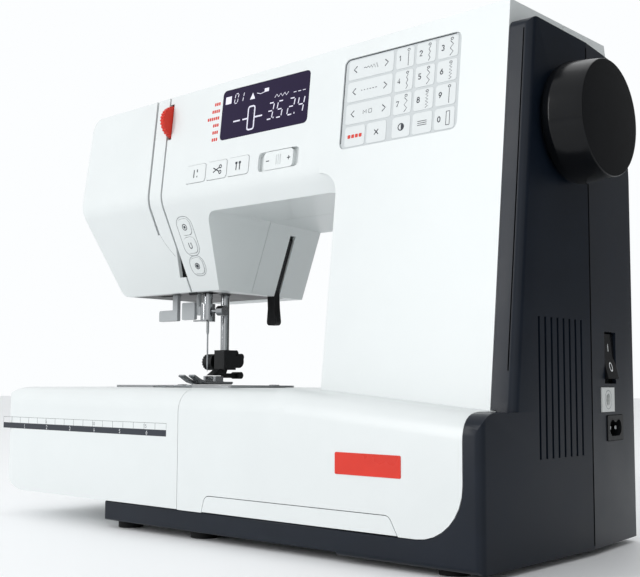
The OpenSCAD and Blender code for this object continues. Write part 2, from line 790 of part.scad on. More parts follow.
module bobbin_cover() color([0.8, 0.85, 0.9, 0.4]) {
    box([needle_x - cover_half, plate_low.y, bed_height + 0.3], [needle_x + cover_half, -5, plate_top - 0.1]);
    // Finger ridge
    box([needle_x + 6, plate_low.y + 4, plate_top - 0.1], [needle_x + 14, plate_low.y + 6, plate_top + 0.4]);
}

// ---- needle and presser ----

module needle_bar() color(STEEL) {
    bar_z(130, 272, [needle_x, needle_y], needle_bar_r);
    // Driving stud for the connecting rod
    difference() {
        box([needle_x - 3, needle_y - 5, rod_low.y - 5], [needle_x + 4, needle_y + 5, rod_low.y + 5]);
        bar_z(rod_low.y - 6, rod_low.y + 6, [needle_x, needle_y], needle_bar_r - 0.5);
    }
    bar_x(needle_x + 3, rod_x[1], rod_low, 2.5);
}

module needle_clamp() color(STEEL) {
    difference() {
        bar_z(129, 141, [needle_x, needle_y], 5);
        bar_z(130, 142, [needle_x, needle_y], needle_bar_r);
        bar_z(120, 131, [needle_x, needle_y], 1);
    }
    bar_x(needle_x + 4.6, needle_x + 11, [needle_y, 136], 1.5);
    bar_x(needle_x + 11, needle_x + 17, [needle_y, 136], 3.4);
    // Thread guide
    box([needle_x - 8, needle_y - 6, 129], [needle_x + 5, needle_y - 4, 130]);
}

module needle() color(GREY) translate([needle_x, needle_y, 0]) rotate_extrude() polygon([
    [0, 95], [0.15, 95.4], [0.55, 100], [0.55, 120], [0.98, 122], [0.98, 130], [0, 130]
]);

module presser_bar() color(STEEL) {
    bar_z(98, 258, [needle_x, presser_y], presser_bar_r);
    // Lifting collar
    difference() {
        bar_z(205, 213, [needle_x, presser_y], 3.9);
        bar_z(204, 214, [needle_x, presser_y], 2);
    }
}

module foot_holder() color(DARK) {
    difference() {
        union() {
            box([needle_x - 5, presser_y - 5, 96.5], [needle_x + 5, presser_y + 6, 110]);
            // Ankle down to the foot
            along_x(needle_x - 2.8, needle_x + 2.8) polygon([
                [2.2, 92.6], [15, 92.6], [17, 97], [9, 97]
            ]);
            // Black block and release lever behind the bar
            bar_x(needle_x - 3.6, needle_x + 3.6, [presser_y + 10.5, 102.5], 4.6);
            bar_x(needle_x - 2.8, needle_x + 2.8, [presser_y + 8.5, 108], 2.2);
            bar_x(needle_x - 3, needle_x + 3, [presser_y + 13.5, 105.5], 2.4);
            box([needle_x - 1.5, presser_y - 2, 91], [needle_x + 1.5, presser_y + 12, 94.2]);
            bar_x(needle_x - 4, needle_x + 4, [presser_y + 12, 92.8], 2.4);
        }
        bar_z(98, 112, [needle_x, presser_y], presser_bar_r);
    }
}

module holder_screw() color(DARK) {
    difference() {
        bar_x(needle_x - 17, needle_x - 8, [presser_y, 102], 5.6);
        for (a = [0:20:340]) translate([needle_x - 18, presser_y, 102]) rotate([a, 0, 0])
            translate([0, 0, 5.1]) box([0, -0.45, 0], [8, 0.45, 2]);
    }
    bar_x(needle_x - 8, needle_x - 5, [presser_y, 102], 2);
}

module presser_foot() color(STEEL) difference() {
    union() {
        // Sole with upturned toes
        along_x(needle_x - 8, needle_x + 8) polygon([
            [-18.5, 92], [-17.5, 93], [-12, 90.2], [-7, 88.6], [17, 88.4],
            [17.4, 87.4], [16, 86.4], [-6, 86.4], [-11, 87.8]
        ]);
        for (side = [-1, 1]) translate([needle_x + side * 5 - 1, 0, 0])
            box([0, 2.5, 88], [2, 10, 92.2]);
        bar_x(needle_x - 5, needle_x + 5, [foot_pivot.x, foot_pivot.y], 0.8);
    }
    // Gap between the toes and slot for the needle
    box([needle_x - 2.2, -20, 80], [needle_x + 2.2, -3.4, 95]);
    box([needle_x - 3.4, -1.6, 80], [needle_x + 3.4, 2.4, 90]);
    box([needle_x - 3.2, 11, 87.5], [needle_x + 3.2, 15.5, 90]);
}

foot_pivot = [6, 90.8];

module presser_lifter() color(BLACK) difference() {
    union() {
        bar_y(lifter_y[0], lifter_y[1], lifter_at, 6);
        along_y(lifter_y[0], lifter_y[1]) polygon(rounded([
            [lifter_at.x - 4, lifter_at.y - 3, 0], [lifter_at.x - 2, lifter_at.y + 5, 0],
            [-62, 189, 1], [-75.2, 152, 4], [-74.5, 140, 10], [-73, 128, 2.5], [-82.6, 128, 2.5],
            [-81.5, 140, 10], [-82, 150, 4]
        ], 4));
    }
    bar_y(lifter_y[0] - 1, lifter_y[1] + 1, lifter_at, 2.5 + running);
}

module needle_threader() color(GREY) {
    bar_z(139, 200, threader_at, threader_r);
    box([threader_at.x - 1.6, threader_at.y - 1.4, 134], [threader_at.x + 5, threader_at.y + 1.4, 140]);
    along_y(threader_at.y - 3.2, threader_at.y - 0.8) polygon(rounded([
        [threader_at.x - 14, 131, 1], [threader_at.x - 1, 131, 1],
        [threader_at.x - 1, 143, 1], [threader_at.x - 14, 143, 1]
    ], 3));
    box([threader_at.x - 4, threader_at.y - 2, 135], [threader_at.x - 1, threader_at.y + 1.4, 139]);
}

module buttonhole_lever() color(GREY) translate(buttonhole_low) {
    box([0, 0, 131], [5, 3, 195]);
    along_y(0, 3) polygon(rounded([
        [-14.5, 130.5, 1], [5, 130.5, 1], [5, 138.2, 0], [-14.5, 138.2, 1.5]
    ], 3));
}

// ---- controls ----

module tension_dial() color(RED) difference() {
    bar_x(dial_x[0], dial_x[1], dial_at, dial_radius);
    bar_x(dial_x[0] - 1, dial_x[1] + 1, dial_at, dial_pin_r + running);
    for (a = [0:12:348]) translate([dial_x[0] - 1, dial_at.x, dial_at.y]) rotate([a, 0, 0])
        translate([0, -0.5, dial_radius - 0.6]) cube([6, 1, 2]);
}

// A panel set into the front face with a flange behind it
module front_panel(b, r, depth, sink) on_front(mid(b).x, mid(b).y) {
    translate([0, 0, -depth - sink]) linear_extrude(depth) tile(size(b) - 0.3 * [1, 1], r);
    translate([0, 0, -wall - 1.6]) linear_extrude(1.4) tile(size(b) + [4, 4], r + 2);
}

module display_window() color([0.17, 0.12, 0.26]) front_panel(display_box, 2.85, 2.7, 0);

module keypad() color([0.86, 0.88, 0.89]) front_panel(keypad_box, 3.85, 1.9, 0.9);

// A push button: cap in its hole, flange behind the panel
module push_button(size, r, flange) {
    translate([0, 0, -4.4]) linear_extrude(4.8) tile(size - 2 * button_gap * [1, 1], r);
    translate([0, 0, -wall - 1.9]) linear_extrude(1.4) tile(size + flange, r);
}

module front_button(i) color(WHITE) on_front(button_x(i), button_row.y + button_size.y / 2)
    push_button(button_size, 1.8, [0.2, 1.4]);

module chin_push(i) color(WHITE) on_chin(chin_x, chin_steps[i])
    push_button(chin_button, 3.8, [2.4, 0.4]);

module needle_button() front_button(0);

module cutter_button() front_button(1);

module twin_needle_button() front_button(2);

module lock_button() chin_push(0);

module reverse_button() chin_push(1);

module start_button() chin_push(2);

module speed_knob() color(WHITE) on_front(mid(speed_box).x, mid(speed_box).y) {
    translate([0, 0, -wall - 1.5]) linear_extrude(1.2) tile([38, 15], 3);
    translate([0, 0, -wall - 0.4]) linear_extrude(wall + 0.4) tile([24, size(speed_box).y - 0.6], 2.5);
}

// The rocker is symmetrical about its pivot and rests tilted to one side
module power_rocker() color(BLACK) on_side(rocker_at.x, rocker_at.y) translate([-rocker_depth, 0, 0]) {
    rotate([90, -rocker_tilt, 0]) translate([0, 0, -7.9]) linear_extrude(15.8) polygon([
        [-3, -8], [-3, 8], [rocker_depth - 1.4, 12.4], [rocker_depth + 0.2, 12.2],
        [rocker_depth - 0.9, 0], [rocker_depth + 0.2, -12.2], [rocker_depth - 1.4, -12.4]
    ]);
    // Axle stubs
    bar_y(-8.2, 8.2, [0, 0], 1.5);
}

module foot_control_socket() color([0.9, 0.9, 0.9]) on_side(socket_at.x, socket_at.y) difference() {
    union() {
        box([-3, -9.1, -6.5], [0.6, 9.1, 6.5]);
        box([-16, -7.5, -5.8], [-3, 7.5, 5.8]);
    }
    translate([-10, 0, 0]) rotate([0, 90, 0]) cylinder(h = 12, r = 3.2);
}

module mains_inlet() color(BLACK) on_side(inlet_at.x, inlet_at.y) {
    difference() {
        union() {
            box([-3, -11.6, -6.7], [0.6, 11.6, 6.7]);
            box([-18, -10, -5.9], [-3, 10, 5.9]);
        }
        for (side = [-1, 1]) translate([-13, side * 4.3, 0]) rotate([0, 90, 0]) cylinder(h = 15, r = 4.4);
        box([-13, -4.3, -4.4], [2, 4.3, 3]);
    }
    for (side = [-1, 1]) translate([-13, side * 4.3, 0]) rotate([0, 90, 0]) cylinder(h = 9, r = 1.2);
}

module main_board() color(BOARD) {
    // Control board behind the column's front
    on_front(112, 140) {
        translate([-44, -42, -15.6]) cube([88, 84, 1.6]);
        for (at = [[-30, 20], [-4, 20], [20, -20], [-20, -24]]) translate([at.x, at.y, -14])
            linear_extrude(3) tile([16, 14], 1);
    }
    // Display board behind the window
    on_front(mid(display_box).x, mid(display_box).y) translate([-40, -18, -10]) cube([80, 36, 1.6]);
}

// ---- top ----

module carry_handle() color(WHITE) difference() {
    union() {
        along_z(handle_z[0], handle_z[1]) difference() {
            polygon(rounded([
                [handle_x[0], handle_y[0], 3], [handle_x[1], handle_y[0], 3],
                [handle_x[1], handle_y[1], 10], [handle_x[0], handle_y[1], 10]
            ]));
            polygon(rounded([
                [handle_x[0] + 9, 10, 0], [handle_x[1] - 9, 10, 0],
                [handle_x[1] - 9, handle_y[1] - 11, 7], [handle_x[0] + 9, handle_y[1] - 11, 7]
            ]));
        }
        bar_x(handle_x[0] - 6, handle_x[1] + 6, handle_pivot, 2.5);
    }
    box([handle_x[0] + 9, handle_y[0] - 5, 260], [handle_x[1] - 9, handle_pivot.x + 3, 290]);
}

module winder_spindle() color(GREY) {
    bar_z(262, 292, winder_at(), 2.8);
    bar_z(283, 284.5, winder_at(), 7);
    bar_z(262, 268, winder_at(), 9);
}

module winder_stop() color(WHITE) {
    stop_at = [152, 8];
    top = top_height - top_slope * (column_right - stop_at.x - 6) + 0.02;
    bar_z(top, top + 4.5, stop_at, 5);
    bar_z(top, top + 2, stop_at, 6);
}

module spool_pin() color(GREY) {
    bar_x(spool_well[0].x + 8, 60, [-6, 278], 3);
    box([spool_well[0].x + 1, -12, spool_well[0].z], [spool_well[0].x + 8, 0, 281]);
}

// ---- bed ----

module tray_outline() polygon(rounded([
    [tray_left, bed_bottom + seam, 0], [tray_left + tray_width, bed_bottom + seam, 0],
    [tray_left + tray_width - 5, 25.2, 4], [tray_left + 2.5, 25.2, 4]
], 4));

module chart_tray() color(WHITE) difference() {
    along_y(front_y, front_y + 96) tray_outline();
    box([tray_left + 8, front_y + 3, 18.4], [tray_left + tray_width - 8, front_y + 93, 27]);
}

module table_outline(margin) grown(margin) polygon(rounded([
    [table_left, table_bottom, 27], [table_left, bed_height, 15],
    [table_right - seam / 2, bed_height, 0], [table_right - seam / 2, table_bottom, 0]
], 8));

module table_plan(margin) grown(margin) polygon(rounded([
    [table_left, front_y, 14], [table_right - seam / 2, front_y, 0],
    [table_right - seam / 2, rear_y, 0], [table_left, rear_y, 14]
], 8));

module table_form(margin) intersection() {
    along_y(front_y, rear_y) table_outline(margin);
    along_x(table_left, table_right) bed_profile(margin, table_bottom - margin);
    along_z(0, 100) table_plan(margin);
}

arm_slot = [[free_arm[0].x - 1.5, free_arm[0].y - 1.5], [table_right + 10, free_arm[1].y + 1.5]];
lid_x = [-184.6, -35.4];
lid_pivot = [rear_y - 1.9, 27];

module extension_table() color(WHITE) difference() {
    table_form(0);
    box([arm_slot[0].x, arm_slot[0].y, 0], [arm_slot[1].x, arm_slot[1].y, 100]);
    difference() {
        table_form(-wall);
        box([arm_slot[0].x - wall, arm_slot[0].y - wall, 0], [arm_slot[1].x, arm_slot[1].y + wall, 100]);
        box([-300, rear_y - 4, 0], [300, rear_y + 1, 100]);
    }
    box([lid_x[0] - 0.3, rear_y - 5, lid_pivot.y - 2.3], [lid_x[1] + 0.3, rear_y + 1, 76]);
    bar_x(lid_x[0] - 4, lid_x[1] + 4, lid_pivot, 1.2 + running);
}

module accessory_lid() color(WHITE) {
    along_x(lid_x[0], lid_x[1]) union() {
        translate(lid_pivot) circle(r = 1.8);
        polygon([
            [lid_pivot.x - 1.8, lid_pivot.y], [lid_pivot.x + 1.8, lid_pivot.y],
            [lid_pivot.x + 1.8, 75.6], [lid_pivot.x - 0.6, 75.6], [lid_pivot.x - 1.8, 74]
        ]);
    }
    bar_x(lid_x[0] - 3.5, lid_x[1] + 3.5, lid_pivot, 1.2);
}

// ---- assembly ----

front_housing();
rear_housing();
face_cover();
base_tray();
side_cover_front();
side_cover_rear();
arm_frame();
needle_plate();
bobbin_cover();
display_window();
keypad();
main_board();
motor();
motor_pulley();
motor_belt();
main_shaft();
drive_pulley();
shaft_bushings();
needle_crank();
connecting_rod();
take_up_lever();
timing_belt();
lower_shaft();
lower_pulley();
hook_drive_gear();
rotary_hook();
bobbin_case();
bobbin();
feed_dog();
handwheel();
needle_bar();
needle_clamp();
needle();
presser_bar();
foot_holder();
holder_screw();
presser_foot();
presser_lifter();
needle_threader();
buttonhole_lever();
tension_dial();
needle_button();
cutter_button();
twin_needle_button();
lock_button();
reverse_button();
start_button();
speed_knob();
power_rocker();
foot_control_socket();
mains_inlet();
carry_handle();
winder_spindle();
winder_stop();
spool_pin();
chart_tray();
extension_table();
accessory_lid();
rubber_feet();
housing_screws();
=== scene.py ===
"""Looks for a domestic sewing machine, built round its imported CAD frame. Metres, +Z up."""
import json
import math

import bmesh
import bpy
from mathutils import Matrix, Vector

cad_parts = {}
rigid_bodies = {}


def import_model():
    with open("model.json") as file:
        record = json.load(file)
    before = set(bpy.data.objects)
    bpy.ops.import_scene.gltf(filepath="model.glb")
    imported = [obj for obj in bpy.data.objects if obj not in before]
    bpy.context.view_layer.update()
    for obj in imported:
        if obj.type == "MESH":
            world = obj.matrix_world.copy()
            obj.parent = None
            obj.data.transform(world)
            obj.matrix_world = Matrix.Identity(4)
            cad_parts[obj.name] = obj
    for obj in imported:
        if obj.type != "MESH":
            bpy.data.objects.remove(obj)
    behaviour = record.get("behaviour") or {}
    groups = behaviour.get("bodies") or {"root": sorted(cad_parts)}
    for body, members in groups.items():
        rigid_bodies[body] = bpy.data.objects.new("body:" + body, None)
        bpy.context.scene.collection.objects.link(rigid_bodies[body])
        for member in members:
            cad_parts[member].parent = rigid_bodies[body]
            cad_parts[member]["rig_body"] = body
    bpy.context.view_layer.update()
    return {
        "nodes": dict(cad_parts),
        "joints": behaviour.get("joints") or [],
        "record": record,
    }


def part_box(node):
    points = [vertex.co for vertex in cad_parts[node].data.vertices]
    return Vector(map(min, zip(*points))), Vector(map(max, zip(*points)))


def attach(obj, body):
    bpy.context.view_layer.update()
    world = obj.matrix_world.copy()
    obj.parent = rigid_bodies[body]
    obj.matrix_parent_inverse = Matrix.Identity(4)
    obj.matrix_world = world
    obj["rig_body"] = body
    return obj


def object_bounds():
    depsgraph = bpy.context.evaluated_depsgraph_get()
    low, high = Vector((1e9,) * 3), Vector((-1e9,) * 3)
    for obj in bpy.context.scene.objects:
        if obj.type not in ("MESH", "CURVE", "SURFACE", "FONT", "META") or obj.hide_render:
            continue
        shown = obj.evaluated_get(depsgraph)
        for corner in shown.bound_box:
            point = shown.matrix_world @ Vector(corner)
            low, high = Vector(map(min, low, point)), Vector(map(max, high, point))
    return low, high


MM = 0.001
UM = 0.000001
UP = Vector((0, 0, 1))
WALL = 2.5 * MM  # of the casing
FACE_STEP = 0.4 * MM  # by which the button caps stand out of the casing
PRINT_HEIGHT = 0.09 * MM  # of drawn lines
INK_HEIGHT = 0.05 * MM  # of printed areas
SMOOTH_ANGLE = 28  # degrees; sharper edges stay sharp
BEVEL_ANGLE = 34  # degrees; blunter edges get no edge radius
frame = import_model()
NODES = frame["nodes"]
JOINTS = {j["name"]: j for j in frame["joints"]}
BODIES = frame["record"]["behaviour"]["bodies"]
CASING = next(body for body, members in BODIES.items() if "front_housing" in members)
OUTWARD = -Vector(JOINTS["needle_button_press"]["axis"])
CHIN_OUTWARD = -Vector(JOINTS["lock_button_press"]["axis"])


# ---- camera, light and floor ----

def make_camera(place, yaw, pitch, roll, lens):
    """A camera that looks yaw degrees to the left of +Y and pitch degrees up."""
    yaw, pitch, roll = (math.radians(a) for a in (yaw, pitch, roll))
    right = Vector((math.cos(yaw), math.sin(yaw), 0))
    reach = math.cos(pitch)
    ahead = Vector((-math.sin(yaw) * reach, math.cos(yaw) * reach, math.sin(pitch)))
    above = right.cross(ahead)
    side = right * math.cos(roll) + above * math.sin(roll)
    above = above * math.cos(roll) - right * math.sin(roll)
    data = bpy.data.cameras.new("camera")
    data.lens = lens
    data.sensor_width = 36
    data.clip_start = 0.02
    camera = bpy.data.objects.new("camera", data)
    turn = Matrix((side, above, -ahead)).transposed().to_4x4()
    camera.matrix_world = Matrix.Translation(place) @ turn
    bpy.context.scene.collection.objects.link(camera)
    bpy.context.scene.camera = camera


def make_area_light(name, place, target, size, power):
    data = bpy.data.lights.new(name, "AREA")
    data.energy = power
    data.shape = "RECTANGLE"
    data.size, data.size_y = size
    light = bpy.data.objects.new(name, data)
    light.location = place
    light.rotation_euler = (Vector(target) - Vector(place)).to_track_quat("-Z", "Y").to_euler()
    bpy.context.scene.collection.objects.link(light)


def make_world():
    """A pale surround that darkens towards the right rear, which the dark side cover mirrors."""
    world = bpy.data.worlds.new("studio")
    world.use_nodes = True
    tree = world.node_tree
    background = tree.nodes["Background"]
    background.inputs["Color"].default_value = (0.975, 0.99, 1, 1)
    place = add(tree, "ShaderNodeTexCoord")
    toward = add(tree, "ShaderNodeVectorMath", operation="DOT_PRODUCT")
    toward.inputs[1].default_value = Vector((0.75, 0.66, 0)).normalized()
    level = add(tree, "ShaderNodeMapRange", interpolation_type="SMOOTHSTEP")
    set_range(level, (0.3, 0.8), (1.0, 0.16))
    tree.links.new(place.outputs["Generated"], toward.inputs[0])
    tree.links.new(toward.outputs["Value"], level.inputs["Value"])
    tree.links.new(level.outputs["Result"], background.inputs["Strength"])
    bpy.context.scene.world = world


def make_studio():
    make_world()
    middle = (0, 0, 0.14)
    make_area_light("key", (-0.75, -1.5, 0.8), middle, (0.28, 1.2), 10)
    make_area_light("fill", (0.9, -1.4, 0.5), middle, (0.9, 0.9), 1)
    make_area_light("side_strip", (1.5, -0.2, 0.55), (0.18, 0, 0.16), (0.25, 0.9), 0.6)
    make_area_light("top", (0.1, 0.5, 1.6), middle, (1.4, 0.9), 2)


def make_floor():
    """A wide disc just under the feet."""
    low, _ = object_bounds()
    mesh = bmesh.new()
    bmesh.ops.create_circle(mesh, cap_ends=True, segments=96, radius=6)
    place = Matrix.Translation((0, 0, low.z - 0.02 * MM))
    floor = finish_mesh("floor", mesh, place, floor_material(), None)


# ---- materials ----

NOISE_RANGE = (0.3, 0.7)  # where most of a noise texture's values lie


def shader(name, metallic=0.0, specular=0.5, transmission=0.0):
    """A new material and its Principled shader, with the values that are the same all over."""
    material = bpy.data.materials.new(name)
    material.use_nodes = True
    bsdf = material.node_tree.nodes["Principled BSDF"]
    bsdf.inputs["Metallic"].default_value = metallic
    bsdf.inputs["Specular IOR Level"].default_value = specular
    bsdf.inputs["Transmission Weight"].default_value = transmission
    return material, bsdf


def add(tree, kind, **values):
    """A node with its named inputs and properties set."""
    node = tree.nodes.new(kind)
    for key, value in values.items():
        if key in node.inputs:
            node.inputs[key].default_value = value
        else:
            setattr(node, key, value)
    return node


def noise(tree, scale, detail=3.0, stretch=(1, 1, 1)):
    """Noise in the object's own space; scale counts features per metre."""
    place = add(tree, "ShaderNodeTexCoord")
    mapping = add(tree, "ShaderNodeMapping", Scale=stretch)
    texture = add(tree, "ShaderNodeTexNoise", Scale=scale, Detail=detail)
    tree.links.new(place.outputs["Object"], mapping.inputs["Vector"])
    tree.links.new(mapping.outputs["Vector"], texture.inputs["Vector"])
    return texture.outputs["Fac"]


def set_range(node, source, target):
    """Makes a map range node turn the one range into the other."""
    for key, value in zip(("From Min", "From Max", "To Min", "To Max"), (*source, *target)):
        node.inputs[key].default_value = value


def spread(tree, source, low, high):
    """Maps noise onto low to high."""
    node = add(tree, "ShaderNodeMapRange")
    set_range(node, NOISE_RANGE, (low, high))
    tree.links.new(source, node.inputs["Value"])
    return node.outputs["Result"]


def tint(tree, source, dark, light):
    """Maps noise onto dark to light."""
    ramp = add(tree, "ShaderNodeValToRGB")
    for element, position, colour in zip(ramp.color_ramp.elements, NOISE_RANGE, (dark, light)):
        element.position = position
        element.color = (*colour, 1)
    tree.links.new(source, ramp.inputs["Fac"])
    return ramp.outputs["Color"]


def surface(
        name, colour, variation, roughness, grain, bump, stretch=(1, 1, 1), blotch=35, **values):
    """A finish with slow colour variation, patchy roughness and a fine grain.

    grain counts bumps per metre and bump is their height in metres.
    """
    material, bsdf = shader(name, **values)
    tree = material.node_tree
    slow = noise(tree, blotch, 4, stretch)
    fine = noise(tree, grain, 2, stretch)
    dark = tuple(c * (1 - variation) for c in colour)
    light = tuple(min(c * (1 + variation), 1) for c in colour)
    tree.links.new(tint(tree, slow, dark, light), bsdf.inputs["Base Color"])
    tree.links.new(spread(tree, slow, *roughness), bsdf.inputs["Roughness"])
    raised = add(tree, "ShaderNodeBump", Distance=bump, Strength=1.0)
    tree.links.new(fine, raised.inputs["Height"])
    tree.links.new(raised.outputs["Normal"], bsdf.inputs["Normal"])
    return material


def white_moulding():
    return surface("white_moulding", (0.68, 0.71, 0.71), 0.012, (0.3, 0.36), 1400, 4 * UM)


def white_cap():
    return surface("white_cap", (0.67, 0.7, 0.7), 0.015, (0.34, 0.42), 1800, 4 * UM)


def charcoal_moulding():
    colour = (0.005, 0.0085, 0.0155)
    return surface("charcoal_moulding", colour, 0.12, (0.3, 0.36), 2600, 30 * UM, specular=0.22)


def black_gloss():
    colour = (0.003, 0.0035, 0.0045)
    return surface("black_gloss", colour, 0.15, (0.16, 0.22), 1500, 6 * UM, specular=0.2)


# Black moulding, and also painted shade: the strips behind the head's slots and the screw-head
# slots use it.
def black_moulding():
    colour = (0.005, 0.0055, 0.0065)
    return surface("black_moulding", colour, 0.15, (0.38, 0.48), 2200, 20 * UM, specular=0.25)


def red_moulding():
    colour = (0.62, 0.03, 0.015)
    return surface("red_moulding", colour, 0.06, (0.25, 0.33), 1500, 6 * UM, specular=0.3)


def grey_moulding():
    return surface("grey_moulding", (0.38, 0.4, 0.41), 0.04, (0.35, 0.45), 1800, 10 * UM)


def pale_moulding():
    return surface("pale_moulding", (0.62, 0.64, 0.63), 0.03, (0.35, 0.45), 1500, 8 * UM)


def display_glass():
    colour = (0.009, 0.003, 0.028)
    return surface("display_glass", colour, 0.1, (0.12, 0.17), 600, 2 * UM, blotch=20, specular=0.2)


def display_ink():
    return surface("display_ink", (0.75, 0.73, 0.85), 0.02, (0.4, 0.5), 2000, UM)


def membrane():
    return surface("membrane", (0.5, 0.53, 0.54), 0.02, (0.4, 0.5), 2500, 6 * UM)


def membrane_key():
    return surface("membrane_key", (0.62, 0.65, 0.655), 0.02, (0.36, 0.46), 2500, 6 * UM)


# Grey print, and also painted shadow along the keypad's recessed edge.
def grey_ink():
    return surface("grey_ink", (0.035, 0.04, 0.05), 0.08, (0.45, 0.55), 3000, UM, specular=0.2)


def faint_ink():
    return surface("faint_ink", (0.3, 0.32, 0.33), 0.05, (0.45, 0.55), 3000, UM)


def red_ink():
    return surface("red_ink", (0.6, 0.05, 0.035), 0.04, (0.4, 0.5), 3000, UM, specular=0.2)


def white_ink():
    return surface("white_ink", (0.85, 0.87, 0.88), 0.02, (0.4, 0.5), 3000, UM)


def clear_moulding():
    colour = (0.85, 0.9, 0.92)
    return surface("clear_moulding", colour, 0.02, (0.08, 0.14), 500, 3 * UM, transmission=0.85)


def brushed_steel():
    grain = (0.08, 1, 1)
    colour = (0.36, 0.37, 0.38)
    return surface("brushed_steel", colour, 0.08, (0.25, 0.38), 3000, 6 * UM, grain, metallic=1.0)


def polished_steel():
    grain = (1, 1, 0.1)
    colour = (0.3, 0.31, 0.32)
    return surface("polished_steel", colour, 0.06, (0.1, 0.2), 1200, 3 * UM, grain, metallic=1.0)


def cast_metal():
    return surface("cast_metal", (0.5, 0.51, 0.52), 0.1, (0.45, 0.6), 900, 60 * UM, metallic=0.9)


def brass_metal():
    return surface("brass_metal", (0.68, 0.48, 0.18), 0.1, (0.25, 0.35), 2000, 5 * UM, metallic=1.0)


def rubber():
    return surface("rubber", (0.005, 0.005, 0.006), 0.2, (0.6, 0.75), 1200, 50 * UM, specular=0.2)


def deep_shadow():
    """Painted shade: the near-black, barely reflecting inside of a narrow gap."""
    colour = (0.0015, 0.0015, 0.002)
    return surface("deep_shadow", colour, 0.1, (0.8, 0.9), 1200, UM, specular=0.02)


def circuit_board():
    return surface("circuit_board", (0.02, 0.16, 0.06), 0.25, (0.3, 0.5), 900, 20 * UM, blotch=220)


def floor_material():
    return surface("floor", (0.88, 0.89, 0.9), 0.008, (0.5, 0.6), 60, 20 * UM, blotch=2)


MATERIALS = {}


def material(make):
    """Makes each material once."""
    if make not in MATERIALS:
        MATERIALS[make] = make()
    return MATERIALS[make]


FINISHES = {
    white_moulding: (
        "front_housing", "rear_housing", "face_cover", "extension_table", "accessory_lid",
        "chart_tray", "carry_handle"),
    white_cap: (
        "winder_stop", "needle_button", "cutter_button", "twin_needle_button", "lock_button",
        "reverse_button", "start_button", "speed_knob"),
    charcoal_moulding: ("base_tray", "side_cover_front", "side_cover_rear"),
    black_gloss: ("handwheel", "power_rocker"),
    black_moulding: (
        "mains_inlet", "presser_lifter", "foot_holder", "holder_screw", "drive_pulley",
        "lower_pulley", "bobbin_case"),
    red_moulding: ("tension_dial",),
    grey_moulding: ("needle_threader", "buttonhole_lever", "spool_pin", "winder_spindle"),
    pale_moulding: ("foot_control_socket",),
    display_glass: ("display_window",),
    membrane: ("keypad",),
    clear_moulding: ("bobbin_cover", "bobbin"),
    brushed_steel: (
        "needle_plate", "main_shaft", "lower_shaft", "needle_crank", "connecting_rod",
        "take_up_lever", "hook_drive_gear", "rotary_hook", "feed_dog", "motor",
        "housing_screws"),
    polished_steel: ("needle_bar", "needle_clamp", "needle", "presser_bar", "presser_foot"),
    cast_metal: ("arm_frame",),
    brass_metal: ("shaft_bushings", "motor_pulley"),
    rubber: ("rubber_feet", "timing_belt", "motor_belt"),
    circuit_board: ("main_board",),
}


# ---- shared mesh work ----

def smoothing_group():
    """Geometry nodes that weld a CAD mesh and shade it smooth, except over its sharp edges."""
    tree = bpy.data.node_groups.new("smooth_by_angle", "GeometryNodeTree")
    tree.interface.new_socket("Geometry", in_out="INPUT", socket_type="NodeSocketGeometry")
    tree.interface.new_socket("Geometry", in_out="OUTPUT", socket_type="NodeSocketGeometry")
    source = tree.nodes.new("NodeGroupInput")
    result = tree.nodes.new("NodeGroupOutput")
    plain = add(tree, "GeometryNodeRemoveAttribute", Name="custom_normal")
    weld = add(tree, "GeometryNodeMergeByDistance", Distance=0.0005 * MM)
    faces = add(tree, "GeometryNodeSetShadeSmooth", domain="FACE")
    edges = add(tree, "GeometryNodeSetShadeSmooth", domain="EDGE")
    angle = add(tree, "GeometryNodeInputMeshEdgeAngle")
    gentle = add(tree, "FunctionNodeCompare", data_type="FLOAT", operation="LESS_THAN")
    gentle.inputs[1].default_value = math.radians(SMOOTH_ANGLE)
    tree.links.new(angle.outputs["Unsigned Angle"], gentle.inputs[0])
    tree.links.new(gentle.outputs[0], edges.inputs["Shade Smooth"])
    steps = [source, plain, weld, faces, edges, result]
    for a, b in zip(steps, steps[1:]):
        tree.links.new(a.outputs[0], b.inputs[0])
    return tree


SMOOTHING = smoothing_group()


def shade_smooth(obj):
    obj.modifiers.new("smooth", "NODES").node_group = SMOOTHING


def round_edges(obj, name, width):
    """A bevel modifier, which is returned for further settings."""
    bevel = obj.modifiers.new(name, "BEVEL")
    bevel.width = width
    bevel.segments = 2
    bevel.limit_method = "ANGLE"
    return bevel


def finish_edges(obj, width):
    """Smooth shading and a small machined or moulded edge radius, all by modifiers."""
    shade_smooth(obj)
    if width:
        round_edges(obj, "edge_radius", width).angle_limit = math.radians(BEVEL_ANGLE)


def finish_mesh(name, mesh, matrix, look, body):
    """Turns a bmesh into an object with its material, riding on its body."""
    bmesh.ops.recalc_face_normals(mesh, faces=mesh.faces)
    data = bpy.data.meshes.new(name)
    mesh.to_mesh(data)
    mesh.free()
    obj = bpy.data.objects.new(name, data)
    obj.matrix_world = matrix
    bpy.context.scene.collection.objects.link(obj)
    data.materials.append(look)
    data.polygons.foreach_set("use_smooth", [True] * len(data.polygons))
    shade_smooth(obj)
    if body:
        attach(obj, body)
    return obj


class Panel:
    """The flat outer face of a CAD node: its size and its matrix (x right, y up, z outwards)."""

    FLATNESS = 0.02 * MM

    def __init__(self, node, outward, up=UP):
        outward = Vector(outward).normalized()
        right = up.cross(outward).normalized()
        above = outward.cross(right)
        points = [v.co for v in NODES[node].data.vertices]
        depth = max(p.dot(outward) for p in points)
        face = [p for p in points if p.dot(outward) > depth - self.FLATNESS]
        across = [p.dot(right) for p in face]
        along = [p.dot(above) for p in face]
        self.width = max(across) - min(across)
        self.height = max(along) - min(along)
        centre = (right * (max(across) + min(across)) + above * (max(along) + min(along))) / 2
        self.matrix = Matrix((right, above, outward)).transposed().to_4x4()
        self.matrix.translation = centre + outward * depth
        self.body = NODES[node]["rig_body"]

    def moved(self, x, y, z=0.0):
        """This face's matrix with its origin moved by metres along the face."""
        return self.matrix @ Matrix.Translation((x, y, z))


